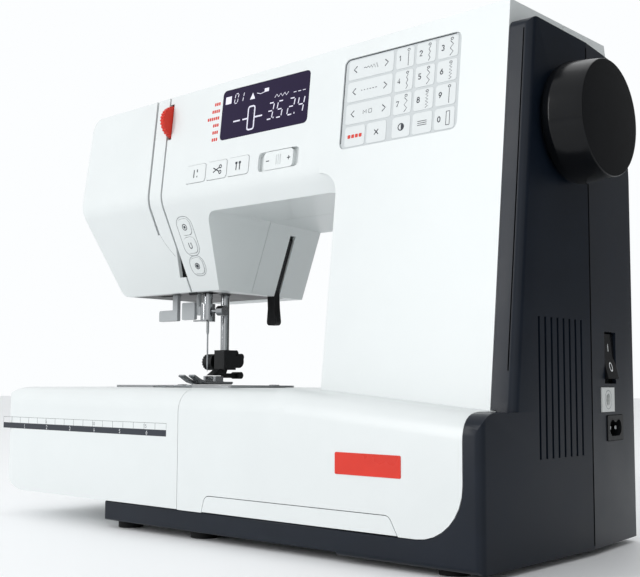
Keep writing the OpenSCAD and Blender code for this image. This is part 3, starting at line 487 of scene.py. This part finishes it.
def rounded_outline(width, height, radius, steps=5):
    """Corners of a rounded rectangle round the origin, counter-clockwise."""
    points = []
    for i, (sx, sy) in enumerate(((1, 1), (-1, 1), (-1, -1), (1, -1))):
        for k in range(steps + 1):
            a = math.radians(90 * (i + k / steps))
            x = sx * (width / 2 - radius) + radius * math.cos(a)
            points.append((x, sy * (height / 2 - radius) + radius * math.sin(a)))
    return points


def disc_outline(radius, steps=24, start=0.0, turn=360.0):
    angles = [math.radians(start + turn * k / steps) for k in range(steps + (turn < 360))]
    return [(radius * math.cos(a), radius * math.sin(a)) for a in angles]


def shifted(points, x, y):
    return [(px + x, py + y) for px, py in points]


def plates(name, matrix, outlines, height, look, body, edge=0.0, sink=0.4):
    """Thin raised shapes on a face, one for each outline, sunk by a part of their height."""
    mesh = bmesh.new()
    for outline in outlines:
        low = [mesh.verts.new((x, y, -sink * height)) for x, y in outline]
        high = [mesh.verts.new((x, y, height)) for x, y in outline]
        mesh.faces.new(high)
        mesh.faces.new(low[::-1])
        for i in range(len(outline)):
            j = (i + 1) % len(outline)
            mesh.faces.new((low[i], low[j], high[j], high[i]))
    obj = finish_mesh(name, mesh, matrix, look, body)
    if edge:
        round_edges(obj, "edge", edge)


def add_splines(data, strokes):
    """A straight-sided spline for each stroke; a stroke that ends where it starts is closed."""
    for stroke in strokes:
        closed = stroke[0] == stroke[-1] and len(stroke) > 2
        points = stroke[:-1] if closed else stroke
        spline = data.splines.new("POLY")
        spline.points.add(len(points) - 1)
        for point, (x, y) in zip(spline.points, points):
            point.co = (x, y, 0, 1)
        spline.use_cyclic_u = closed


def pierced_plate(name, matrix, outline, holes, height, look, body):
    """A plate with holes through it, its underside on the matrix's plane."""
    data = bpy.data.curves.new(name, "CURVE")
    data.dimensions = "2D"
    data.fill_mode = "BOTH"
    data.extrude = height / 2
    add_splines(data, [loop(points) for points in (outline, *holes)])
    obj = bpy.data.objects.new(name, data)
    obj.matrix_world = matrix @ Matrix.Translation((0, 0, height / 2))
    bpy.context.scene.collection.objects.link(obj)
    data.materials.append(look)
    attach(obj, body)


def line_art(name, matrix, strokes, width, look, body):
    """Printed lines on a face: round-ended tubes, pressed flat along the face's normal."""
    data = bpy.data.curves.new(name, "CURVE")
    data.dimensions = "3D"
    data.bevel_depth = width / 2
    data.bevel_resolution = 1
    data.use_fill_caps = True
    add_splines(data, strokes)
    obj = bpy.data.objects.new(name, data)
    flat = Matrix.Diagonal((1, 1, PRINT_HEIGHT / width, 1))
    obj.matrix_world = matrix @ flat
    bpy.context.scene.collection.objects.link(obj)
    data.materials.append(look)
    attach(obj, body)


def loop(points):
    return [*points, points[0]]


def scaled(strokes, size, x, y, lean=0.0):
    """Strokes drawn in a unit box, scaled by size, leant to the right and moved."""
    return [[((px + lean * py) * size + x, py * size + y) for px, py in s] for s in strokes]


def ring(radius_x, radius_y, x, y, start=0, stop=360):
    """An elliptical stroke between two angles."""
    return [
        (x + radius_x * math.cos(math.radians(a)), y + radius_y * math.sin(math.radians(a)))
        for a in range(start, stop + 1, 30)
    ]


# Digits as strokes in a box 0.6 wide and 1 high
DIGITS = {
    "0": [ring(0.28, 0.5, 0.3, 0.5)],
    "1": [[(0.1, 0.75), (0.35, 1), (0.35, 0)]],
    "2": [ring(0.28, 0.28, 0.3, 0.72, 0, 180)[::-1] + [(0.55, 0.6), (0.02, 0), (0.6, 0)]],
    "3": [
        ring(0.26, 0.24, 0.28, 0.76, -60, 150)[::-1]
        + ring(0.28, 0.26, 0.28, 0.26, -150, 60)[::-1]],
    "4": [[(0.45, 0), (0.45, 1), (0, 0.3), (0.6, 0.3)]],
    "5": [[(0.55, 1), (0.1, 1), (0.07, 0.58)] + ring(0.28, 0.3, 0.28, 0.3, -150, 120)[::-1]],
    "6": [[(0.45, 1), (0.1, 0.5)], ring(0.28, 0.3, 0.3, 0.3)],
    "7": [[(0, 1), (0.6, 1), (0.2, 0)]],
    "8": [ring(0.23, 0.24, 0.3, 0.76), ring(0.28, 0.27, 0.3, 0.27)],
    "9": [[(0.15, 0), (0.5, 0.5)], ring(0.28, 0.3, 0.3, 0.7)],
}

# Seven-segment digits in the same box
SEGMENTS = {
    "a": ((0.07, 1), (0.38, 1)),
    "b": ((0.45, 0.93), (0.45, 0.57)),
    "c": ((0.45, 0.43), (0.45, 0.07)),
    "d": ((0.07, 0), (0.38, 0)),
    "e": ((0, 0.07), (0, 0.43)),
    "f": ((0, 0.57), (0, 0.93)),
    "g": ((0.07, 0.5), (0.38, 0.5)),
}
LIT = {"0": "abcdef", "1": "bc", "2": "abged", "3": "abgcd", "4": "fgbc", "5": "afgcd"}


def lcd_digits(text, size, x, y):
    """Leaning seven-segment digits; a point takes half a place."""
    strokes = []
    for character in text:
        if character == ".":
            strokes += scaled([[(0, 0), (0.02, 0.09)]], size, x - 0.2 * size, y)
            continue
        strokes += scaled([SEGMENTS[s] for s in LIT[character]], size, x, y, 0.16)
        x += 0.78 * size
    return strokes


# ---- front of the arm ----

def display_art():
    face = Panel("display_window", OUTWARD)
    ink = material(display_ink)
    w, h = face.width, face.height
    number = lcd_digits("01", 0.19 * h, -0.36 * w, 0.2 * h)
    line_art("display_stitch_number", face.matrix, number, 0.62 * MM, ink, face.body)
    values = lcd_digits("3.5", 0.31 * h, 0.04 * w, -0.28 * h)
    values += lcd_digits("2.4", 0.31 * h, 0.272 * w, -0.28 * h)
    line_art("display_values", face.matrix, values, 0.8 * MM, ink, face.body)
    display_stitch(face, ink)
    display_icons(face, ink)


def display_stitch(face, ink):
    """The chosen stitch: a bar through the middle of a tall ring."""
    w, h = face.width, face.height
    x, y = -0.14 * w, -0.17 * h
    stitch = [
        [(-0.35 * w, y), (-0.27 * w, y)], [(-0.24 * w, y), (x - 0.045 * w, y)],
        [(x + 0.045 * w, y), (-0.01 * w, y)],
        loop(shifted(rounded_outline(0.075 * w, 0.46 * h, 0.02 * w), x, y)),
    ]
    line_art("display_stitch", face.matrix, stitch, 1.05 * MM, ink, face.body)


def display_icons(face, ink):
    w, h = face.width, face.height
    wave = [(0.12 * w + k * 0.022 * w, 0.12 * h + (0.06 * h if k % 2 else 0)) for k in range(8)]
    offsets = [k * 0.05 * w for k in range(3)]
    dashes = [[(0.33 * w + offset, 0.14 * h), (0.36 * w + offset, 0.14 * h)] for offset in offsets]
    foot = [(-0.09 * w, 0.3 * h), (-0.05 * w, 0.27 * h), (0.0, 0.29 * h)]
    line_art("display_legends", face.matrix, [wave, *dashes, foot], 0.5 * MM, ink, face.body)
    solid = [
        shifted(rounded_outline(0.07 * w, 0.15 * h, 0.1 * MM, 2), -0.43 * w, 0.29 * h),
        shifted(rounded_outline(0.05 * w, 0.07 * h, 0.2 * MM, 2), 0.02 * w, 0.32 * h),
        [(-0.17 * w, 0.2 * h), (-0.11 * w, 0.2 * h), (-0.14 * w, 0.33 * h)],
    ]
    plates("display_icons", face.matrix, solid, INK_HEIGHT, ink, face.body)


# Steps and width of each stitch sample
STITCHES = {
    "straight": (1, 0.0),
    "zigzag": (5, 1.0 * MM),
    "wide": (4, 1.9 * MM),
    "dense": (9, 1.6 * MM),
}


def stitch_icon(kind, x, y, height):
    """A small vertical stitch sample, drawn as one stroke under a small ring."""
    steps, width = STITCHES[kind]
    places = [((k % 2) - 0.5, k / steps - 0.5) for k in range(steps + 1)]
    line = [(x + width * across, y + height * along) for across, along in places]
    return [line, ring(0.8 * MM, 0.6 * MM, x, y + height / 2 + 1.1 * MM)]


class Keypad:
    """Places of the membrane's keys, in millimetres from its left edge."""

    WIDTH = 79.4
    ROWS = 4.05
    KEY_HEIGHT = 0.22 * MM
    DIGIT_SIZE = 2.9 * MM
    DIGIT_SHIFT = -4.3 * MM
    COLUMNS = ((36.5, 48.7), (50.2, 63.0), (64.5, 77.3))
    WIDE = (2.6, 34.8)
    LOWER_LEFT = ((3.0, 17.5), (18.8, 32.5))

    def __init__(self):
        self.face = Panel("keypad", OUTWARD)
        self.unit = self.face.width / self.WIDTH
        self.pitch = self.face.height / self.ROWS
        self.keys, self.bold, self.fine = [], [], []

    def middle(self, span, row):
        """The centre of a key in a row counted from the top."""
        return (sum(span) / 2 * self.unit - self.face.width / 2, (1.5 - row) * self.pitch)

    def key(self, span, row):
        x, y = self.middle(span, row)
        width = (span[1] - span[0]) * self.unit
        outline = rounded_outline(width, self.pitch - 1.3 * MM, 1.6 * MM)
        self.keys.append(shifted(outline, x, y))
        return x, y


def wide_keys(pad):
    """Three keys with an arrow at each end and a sample between them."""
    for row in range(3):
        x, y = pad.key(pad.WIDE, row)
        for side in (-1, 1):
            tip = x + side * 12.2 * MM
            back = tip - side * 2.2 * MM
            pad.bold.append([(back, y + 1.9 * MM), (tip, y), (back, y - 1.9 * MM)])
    x, y = pad.middle(pad.WIDE, 0)
    heights = [(1 if k % 2 else -1) * 0.16 * k for k in range(11)]
    pad.fine.append([(x + (k - 5) * MM, y + height * MM) for k, height in enumerate(heights)])
    x, y = pad.middle(pad.WIDE, 1)
    starts = [(k, x + (k - 3) * 2 * MM) for k in range(6)]
    pad.fine += [[(start, y), (start + (0.8 + 0.1 * k) * MM, y)] for k, start in starts]
    x, y = pad.middle(pad.WIDE, 2)
    peaks = [[(0, 0), (0, 1), (0.5, 0.4), (1, 1), (1, 0)]]
    square = [[(0, 0), (0.9, 0), (0.9, 1), (0, 1), (0, 0)]]
    pad.fine += scaled(peaks, 2.2 * MM, x - 3.4 * MM, y - 1.1 * MM)
    pad.fine += scaled(square, 2.2 * MM, x + 0.6 * MM, y - 1.1 * MM)


def number_keys(pad):
    for row in range(3):
        for k, span in enumerate(pad.COLUMNS):
            x, y = pad.key(span, row)
            digit = DIGITS[str(row * 3 + k + 1)]
            pad.bold += scaled(digit, pad.DIGIT_SIZE, x + pad.DIGIT_SHIFT, y - 1.3 * MM)
            kind = list(STITCHES)[(row + k) % len(STITCHES)]
            pad.fine += stitch_icon(kind, x + 2.2 * MM, y - 0.9 * MM, 0.62 * pad.pitch)


def lower_keys(pad):
    """Mode, clear, contrast, memory and nought; the words are replaced by plain signs."""
    for span in (*pad.LOWER_LEFT, *pad.COLUMNS):
        pad.key(span, 3)
    x, y = pad.middle(pad.LOWER_LEFT[1], 3)
    arm = 1.4 * MM
    pad.bold += [[(x - arm, y - arm), (x + arm, y + arm)], [(x - arm, y + arm), (x + arm, y - arm)]]
    x, y = pad.middle(pad.COLUMNS[0], 3)
    pad.bold.append(ring(1.9 * MM, 1.9 * MM, x, y))
    x, y = pad.middle(pad.COLUMNS[1], 3)
    heights = [y + k * 1.1 * MM for k in (-1, 0, 1)]
    pad.fine += [[(x - 3 * MM, height), (x + 3 * MM, height)] for height in heights]
    x, y = pad.middle(pad.COLUMNS[2], 3)
    pad.bold += scaled(DIGITS["0"], pad.DIGIT_SIZE, x + pad.DIGIT_SHIFT, y - 1.4 * MM)
    bar = rounded_outline(2.2 * MM, 7.4 * MM, 0.2 * MM, 2)
    pad.fine.append(loop(shifted(bar, x + 2.2 * MM, y)))


def keypad_art():
    pad = Keypad()
    face, ink = pad.face, material(grey_ink)
    wide_keys(pad)
    number_keys(pad)
    lower_keys(pad)
    look = material(membrane_key)
    plates("keypad_keys", face.matrix, pad.keys, pad.KEY_HEIGHT, look, face.body, 0.15 * MM)
    above = face.moved(0, 0, pad.KEY_HEIGHT)
    line_art("keypad_legends", above, pad.bold, 0.62 * MM, ink, face.body)
    line_art("keypad_icons", above, pad.fine, 0.4 * MM, ink, face.body)
    x, y = pad.middle(pad.COLUMNS[0], 3)
    half = shifted(disc_outline(1.9 * MM, 12, -90, 180), x, y)
    plates("keypad_contrast_mark", above, [half], 0.04 * MM, ink, face.body)
    x, y = pad.middle(pad.LOWER_LEFT[0], 3)
    block = rounded_outline(2.1 * MM, 2.1 * MM, 0.4 * MM, 2)
    blocks = [shifted(block, x + k * 2.7 * MM, y) for k in (-1.5, -0.5, 0.5, 1.5)]
    plates("keypad_mode_mark", above, blocks, 0.04 * MM, material(red_ink), face.body)


def keypad_shadow_line():
    """Painted shadow: the dark line along the left and top edges of the recessed membrane, where
    the recess's rim casts shade.
    """
    face = Panel("keypad", OUTWARD)
    x, y = face.width / 2 - 0.1 * MM, face.height / 2 - 0.1 * MM
    radius = 3.6 * MM
    bend = shifted(disc_outline(radius, 6, 90, 90), -x + radius, y - radius)
    line = [(x - radius, y), *bend, (-x, -y + radius)]
    line_art("keypad_shadow_line", face.matrix, [line], 0.6 * MM, material(grey_ink), face.body)


def front_button_art():
    ink = material(grey_ink)
    needle = Panel("needle_button", OUTWARD)
    marks = [
        [(-1.4 * MM, -2.6 * MM), (-1.4 * MM, 2.6 * MM)],
        [(1.6 * MM, 0.7 * MM), (1.6 * MM, 2.6 * MM)],
        [(1.6 * MM, -2.6 * MM), (1.6 * MM, -1.6 * MM)],
    ]
    line_art("needle_button_mark", needle.matrix, marks, 0.9 * MM, ink, needle.body)
    cutter = Panel("cutter_button", OUTWARD)
    blades = [
        [(-2.8 * MM, -1.4 * MM), (2.8 * MM, 1.4 * MM)],
        [(-2.8 * MM, 1.4 * MM), (2.8 * MM, -1.4 * MM)],
        ring(MM, MM, 3.5 * MM, 1.8 * MM),
        ring(MM, MM, 3.5 * MM, -1.8 * MM),
    ]
    line_art("cutter_button_mark", cutter.matrix, blades, 0.75 * MM, ink, cutter.body)
    twin = Panel("twin_needle_button", OUTWARD)
    pins = [[(x * MM, -2.6 * MM), (x * MM, 1.2 * MM)] for x in (-1.5, 1.5)]
    line_art("twin_needle_button_mark", twin.matrix, pins, 0.9 * MM, ink, twin.body)
    head = rounded_outline(1.9 * MM, 1.5 * MM, 0.2 * MM, 2)
    heads = [shifted(head, x * MM, 2 * MM) for x in (-1.5, 1.5)]
    plates("twin_needle_button_heads", twin.matrix, heads, INK_HEIGHT, ink, twin.body)


def speed_art():
    face = Panel("speed_knob", OUTWARD)
    ink = material(grey_ink)
    reach, arm = 0.36 * face.width, 1.3 * MM
    marks = [
        [(-reach - arm, 0), (-reach + arm, 0)],
        [(reach - arm, 0), (reach + arm, 0)],
        [(reach, -arm), (reach, arm)],
    ]
    line_art("speed_marks", face.matrix, marks, 0.65 * MM, ink, face.body)
    rib = rounded_outline(0.6 * MM, 0.55 * face.height, 0.2 * MM, 2)
    ribs = [shifted(rib, x * 1.6 * MM, 0) for x in (-1, 0, 1)]
    plates("speed_grip", face.matrix, ribs, 0.35 * MM, material(white_cap), face.body, 0.12 * MM)


def display_side_marks():
    """Red legends left of the display, as rows of plain blocks."""
    face = Panel("display_window", OUTWARD)
    block = rounded_outline(1.4 * MM, 2.1 * MM, 0.3 * MM, 2)
    blocks = []
    for row, count in enumerate((3, 4, 6, 3, 3, 3)):
        y = (0.27 - 0.145 * row) * face.height
        for k in range(count):
            x = -face.width / 2 - 3 * MM - k * 1.85 * MM
            blocks.append(shifted(block, x, y))
    plates("display_side_marks", face.matrix, blocks, INK_HEIGHT, material(red_ink), face.body)


def chin_art():
    ink = material(grey_ink)
    names = ("lock_button", "reverse_button", "start_button")
    lock, reverse, start = (Panel(name, CHIN_OUTWARD) for name in names)
    line_art("lock_mark", lock.matrix, [ring(2 * MM, 2 * MM, 0, 0)], 0.6 * MM, ink, lock.body)
    plates("lock_dot", lock.matrix, [disc_outline(1.0 * MM, 12)], INK_HEIGHT, ink, lock.body)
    bow = ring(1.3 * MM, 1.5 * MM, 0, -0.6 * MM, 180, 360)
    arrow = [(-1.3 * MM, 1.8 * MM), *bow, (1.3 * MM, 1.8 * MM), (0.4 * MM, 0.8 * MM)]
    line_art("reverse_mark", reverse.matrix, [arrow], 0.65 * MM, ink, reverse.body)
    line_art("start_mark", start.matrix, [ring(2 * MM, 2 * MM, 0, 0)], 0.6 * MM, ink, start.body)
    plates("start_dot", start.matrix, [disc_outline(1.3 * MM, 12)], INK_HEIGHT, ink, start.body)
    chin_outlines(lock, reverse, start)


def chin_outlines(lock, reverse, start):
    """A faint pill round the upper two buttons and a ring round the lower one, on the casing."""
    look = material(faint_ink)
    step = (reverse.matrix.translation - lock.matrix.translation).length
    pill = loop(rounded_outline(lock.width + 3.4 * MM, step + lock.height + 3.4 * MM, 6 * MM))
    place = lock.moved(0, -step / 2, -FACE_STEP)
    line_art("button_pill_outline", place, [pill], 0.55 * MM, look, CASING)
    outline = loop(rounded_outline(start.width + 3 * MM, start.height + 3 * MM, 6 * MM))
    place = start.moved(0, 0, -FACE_STEP)
    line_art("button_ring_outline", place, [outline], 0.55 * MM, look, CASING)


# ---- dark inside the openings of the head (the strips behind the slots are painted shade) ----

def slot_liner(name, face, x, y0, y1, width):
    """A dark strip behind a slot in the face's casing, between two heights along the face; painted
    shade, so that the slot reads as a shaded gap.
    """
    place = face.moved(0, 0, -(FACE_STEP + WALL + 0.9 * MM))
    outline = shifted(rounded_outline(width, y1 - y0, 0.3 * MM, 2), x, (y0 + y1) / 2)
    plates(name, place, [outline], 0.5 * MM, material(black_moulding), CASING, sink=0)


def head_liners():
    """Painted shade: dark strips behind the face cover's seam, which is the thread slot, and the
    lever's slot.
    """
    front, chin = Panel("needle_button", OUTWARD), Panel("lock_button", CHIN_OUTWARD)
    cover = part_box("face_cover")
    lever_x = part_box("take_up_lever")[0].x + 3 * MM
    top = front.matrix.inverted() @ Vector((0, 0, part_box("display_window")[1].z))
    bottom = chin.matrix.inverted() @ Vector((0, 0, cover[0].z))
    slots = (
        ("thread_slot", cover[1].x - 1.8 * MM, bottom.y + 3 * MM, 8 * MM),
        ("take_up_slot_shade", lever_x, 12 * MM, 3 * MM),
    )
    for name, x, start, width in slots:
        front_x, chin_x = x - front.matrix.translation.x, x - chin.matrix.translation.x
        slot_liner(f"{name}_front", front, front_x, -4 * MM, top.y - 4 * MM, 3 * MM)
        slot_liner(f"{name}_chin", chin, chin_x, start, 12 * MM, width)


def thread_cutter_mark():
    """The faint outline of the thread cutter's recess below the take-up lever's slot."""
    chin = Panel("lock_button", CHIN_OUTWARD)
    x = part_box("take_up_lever")[0].x - chin.matrix.translation.x
    curve = [(x + (3 + 9 * t * t) * MM, (5 - 24 * t) * MM) for t in (0, 0.2, 0.4, 0.6, 0.8, 1)]
    place = chin.moved(0, 0, -FACE_STEP)
    line_art("thread_cutter_line", place, [curve], 0.35 * MM, material(faint_ink), CASING)


def underside_plate():
    """The black plate inside the head's open underside, with holes for the bars that pass it."""
    bars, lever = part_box("needle_bar"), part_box("buttonhole_lever")
    origin = Vector((bars[0].x, bars[0].y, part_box("face_cover")[0].z + 0.1 * MM))

    def at(points, x, y):
        return shifted(points, x - origin.x, y - origin.y)

    holes = []
    for name in ("needle_bar", "presser_bar"):
        low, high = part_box(name)
        ring_hole = disc_outline((high.x - low.x) / 2 + 0.6 * MM)
        holes.append(at(ring_hole, (low.x + high.x) / 2, (low.y + high.y) / 2))
    needle_x, needle_y = (bars[0].x + bars[1].x) / 2, (bars[0].y + bars[1].y) / 2
    holes.append(at(disc_outline(2.6 * MM), needle_x - 12.5 * MM, needle_y + 3 * MM))
    stem = rounded_outline(lever[1].x - lever[0].x + 2 * MM, 6 * MM, MM, 3)
    holes.append(at(stem, (lever[0].x + lever[1].x) / 2, needle_y))
    plate = rounded_outline(79.4 * MM, 71.4 * MM, 2 * MM)
    outline = at(plate, needle_x - 27 * MM, needle_y + 25.5 * MM)
    place, look = Matrix.Translation(origin), material(black_moulding)
    pierced_plate("underside_plate", place, outline, holes, 1.2 * MM, look, CASING)


# ---- table and bed ----

BAND_HEIGHT = 0.06 * MM
RULER_LINE = 0.25 * MM


def front_matrix(x, y, z):
    """A place on an upright face that looks to the front."""
    return Matrix(((1, 0, 0, x), (0, 0, -1, y), (0, 1, 0, z), (0, 0, 0, 1)))


def table_ruler():
    """Centimetres over inches, printed on the front of the extension table."""
    low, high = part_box("extension_table")
    body, ink = "extension_table", material(grey_ink)
    end = high.x - 10 * MM
    length = 170 * MM
    top, middle, bottom = high.z - 20.3 * MM, high.z - 24.2 * MM, high.z - 27.8 * MM
    matrix = front_matrix(0, low.y, 0)
    left = end - length
    band = rounded_outline(length, middle - bottom, 0.1 * MM, 2)
    band = shifted(band, (left + end) / 2, (middle + bottom) / 2)
    plates("ruler_band", matrix, [band], BAND_HEIGHT, ink, body)
    frame_line = [(left, middle), (left, top), (end, top), (end, middle), (left, middle)]
    ticks = [[(left + k * 10 * MM, middle), (left + k * 10 * MM, top)] for k in range(1, 17)]
    line_art("ruler_centimetres", matrix, [frame_line] + ticks, RULER_LINE, ink, body)
    digits = []
    for value in (5, 10, 15):
        for k, character in enumerate(str(value)):
            x = left + (value * 10 - 0.6 + k * 1.5) * MM
            digits += scaled(DIGITS[character], 2 * MM, x, middle + 0.9 * MM)
    line_art("ruler_numbers", matrix, digits, RULER_LINE, ink, body)
    above = matrix @ Matrix.Translation((0, 0, BAND_HEIGHT))
    inches = inch_scale(left, bottom)
    line_art("ruler_inches", above, inches, RULER_LINE, material(white_ink), body)


def inch_scale(left, bottom):
    """The strokes of the ticks from 1 to 6 inches, then of their digits."""
    places = [(value, left + value * 25.4 * MM) for value in range(1, 7)]
    strokes = [[(x, bottom + 0.3 * MM), (x, bottom + 1 * MM)] for _, x in places]
    for value, x in places:
        strokes += scaled(DIGITS[str(value)], 2 * MM, x - 0.6 * MM, bottom + 0.8 * MM)
    return strokes


def bed_badge():
    """The plain red bar low on the bed's front."""
    low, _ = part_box("front_housing")
    tray_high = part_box("chart_tray")[1]
    x, z = tray_high.x - 18 * MM, tray_high.z + 23.3 * MM
    outline = rounded_outline(41 * MM, 10.8 * MM, 0.8 * MM, 4)
    place = front_matrix(x, low.y, z)
    plates("bed_badge", place, [outline], 0.25 * MM, material(red_moulding), CASING, 0.1 * MM)


def plate_marks():
    """Seam guide lines and two screws on the needle plate."""
    low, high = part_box("needle_plate")
    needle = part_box("needle")
    x0, y0 = (needle[0].x + needle[1].x) / 2, (needle[0].y + needle[1].y) / 2
    matrix = Matrix.Translation((x0, y0, high.z))
    front, back = low.y - y0 + 6 * MM, high.y - y0 - 10 * MM
    lines = [[(x * MM, 4 * MM), (x * MM, 22 * MM)] for x in (10, 15)]
    for x in (20, 25, 30, 40, 50):
        if x0 + x * MM < high.x - 3 * MM:
            lines.append([(x * MM, front), (x * MM, back)])
            lines.append([(-x * MM, 8 * MM), (-x * MM, back)])
    line_art("plate_lines", matrix, lines, 0.3 * MM, material(grey_ink), CASING)
    for side, x in (("left", -48 * MM), ("right", 44 * MM)):
        plate_screw(side, matrix @ Matrix.Translation((x, 20 * MM, 0)))


def plate_screw(side, place):
    """A low screw head; its slot is a thin dark plate on top, painted shade standing in for the
    slot's hollow.
    """
    height = 0.5 * MM
    look, dark = material(polished_steel), material(black_moulding)
    disc = disc_outline(3.4 * MM, 32)
    plates(f"plate_screw_{side}", place, [disc], height, look, CASING, 0.2 * MM)
    top = place @ Matrix.Translation((0, 0, height))
    # Painted shade: a flat dark plate where the slot's hollow would be shaded.
    slot = rounded_outline(4.6 * MM, 0.9 * MM, 0.1 * MM, 2)
    plates(f"plate_screw_slot_shade_{side}", top, [slot], 0.03 * MM, dark, CASING)


# ---- right side ----

def side_outward():
    """The outward direction of the tapered rear side."""
    tilt = Vector(JOINTS["power_rocker_tilt"]["axis"])
    return Vector((-tilt.y, tilt.x, 0)).normalized()


def rocker_half(above):
    """A place in the middle of the rocker's upper or lower outer face."""
    outward, middle = side_outward(), JOINTS["power_rocker_tilt"]["pos_m"][2]
    polygons = NODES["power_rocker"].data.polygons
    faces = [p for p in polygons if p.normal.dot(outward) > 0.9 and (p.center.z > middle) == above]
    normal = max(faces, key=lambda p: p.area).normal.copy()
    flat = [p for p in faces if p.normal.dot(normal) > 0.9999]
    centre = sum((p.center * p.area for p in flat), Vector()) / sum(p.area for p in flat)
    right = UP.cross(normal).normalized()
    matrix = Matrix((right, normal.cross(right), normal)).transposed().to_4x4()
    matrix.translation = centre
    return matrix


def rocker_marks():
    ink, body = material(white_ink), NODES["power_rocker"]["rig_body"]
    one = [(0, -3.4 * MM), (0, 0.6 * MM)]
    line_art("rocker_on_mark", rocker_half(True), [one], 0.7 * MM, ink, body)
    nought = ring(1.9 * MM, 2.3 * MM, 0, 0.4 * MM)
    line_art("rocker_off_mark", rocker_half(False), [nought], 0.7 * MM, ink, body)


def inlet_pins():
    """Two round contact pins in the mains inlet."""
    face = Panel("mains_inlet", side_outward())
    pins = [shifted(disc_outline(1.3 * MM, 20), side * 4.3 * MM, 0) for side in (-1, 1)]
    place = face.moved(0, 0, -12.9 * MM)
    plates("inlet_pins", place, pins, 11.4 * MM, material(polished_steel), CASING, 0.4 * MM, 0)


def rocker_backing():
    """A black plate behind the rocker, which stops the view into the casing."""
    face = Panel("mains_inlet", side_outward())
    low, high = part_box("power_rocker")
    middle = face.matrix.inverted() @ ((low + high) / 2)
    outline = rounded_outline(20 * MM, high.z - low.z + 6 * MM, MM, 2)
    place = face.moved(middle.x, middle.y, -13.5 * MM)
    plates("rocker_backing", place, [outline], MM, material(black_moulding), CASING, sink=0)


def socket_ring():
    socket = Panel("foot_control_socket", side_outward())
    circle = ring(5 * MM, 5 * MM, 0, 0)
    line_art("socket_ring", socket.matrix, [circle], 0.5 * MM, material(faint_ink), socket.body)


def cover_seam():
    """Painted shade: a dark line over the seam between the front and rear halves of the side cover,
    standing in for the shade inside the gap.
    """
    low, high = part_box("side_cover_front")
    matrix = Matrix(((0, 0, 1, high.x), (1, 0, 0, high.y), (0, 1, 0, low.z), (0, 0, 0, 1)))
    line = [(0, 2 * MM), (0, high.z - low.z - 4 * MM)]
    line_art("cover_seam", matrix, [line], 1.3 * MM, material(deep_shadow), CASING)


def cover_groove():
    """Painted shade: the fine dark line down the dark cover's front edge, drawn as a line of shade
    rather than cut as a groove.
    """
    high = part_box("side_cover_front")[1]
    front = Panel("needle_button", OUTWARD)
    x = high.x - 4.6 * MM - front.matrix.translation.x
    place = front.moved(x, 0, -FACE_STEP)
    top = place.inverted() @ Vector((0, 0, high.z - 10 * MM))
    bottom = place.inverted() @ Vector((0, 0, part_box("needle_plate")[1].z + 2 * MM))
    line = [(0, bottom.y), (0, top.y)]
    line_art("cover_groove", place, [line], 0.7 * MM, material(deep_shadow), CASING)


# ---- build ----

EDGE_RADIUS = {
    "handwheel": 0.5 * MM, "power_rocker": 0.4 * MM, "tension_dial": 0.15 * MM,
    "base_tray": 0.8 * MM, "carry_handle": 1.6 * MM, "presser_lifter": 0.8 * MM,
    "buttonhole_lever": 0.4 * MM, "needle_threader": 0.4 * MM, "needle_clamp": 0.3 * MM,
    "foot_holder": 0.5 * MM, "presser_foot": 0.25 * MM, "needle_button": 0.3 * MM,
    "cutter_button": 0.3 * MM, "twin_needle_button": 0.3 * MM, "lock_button": 0.3 * MM,
    "reverse_button": 0.3 * MM, "start_button": 0.3 * MM, "speed_knob": 0.3 * MM,
    "winder_stop": 0.5 * MM, "winder_spindle": 0.3 * MM, "spool_pin": 0.5 * MM,
    "mains_inlet": 0.3 * MM, "foot_control_socket": 0.3 * MM, "rubber_feet": 0.6 * MM,
    "display_window": 0.15 * MM, "needle_plate": 0.2 * MM, "bobbin_cover": 0.2 * MM,
}


def dress_cad_nodes():
    for make, names in FINISHES.items():
        for name in names:
            obj = NODES[name]
            obj.data.materials.clear()
            obj.data.materials.append(material(make))
            finish_edges(obj, EDGE_RADIUS.get(name, 0.0))


bpy.context.scene.view_settings.view_transform = "Standard"
make_camera(Vector((442.81, -488.68, 88.26)) * MM, yaw=41.57, pitch=5.05, roll=0.22, lens=59.69)
make_studio()
make_floor()
dress_cad_nodes()
display_art()
display_side_marks()
keypad_art()
keypad_shadow_line()
front_button_art()
speed_art()
chin_art()
table_ruler()
bed_badge()
plate_marks()
head_liners()
thread_cutter_mark()
underside_plate()
rocker_marks()
rocker_backing()
inlet_pins()
socket_ring()
cover_seam()
cover_groove()
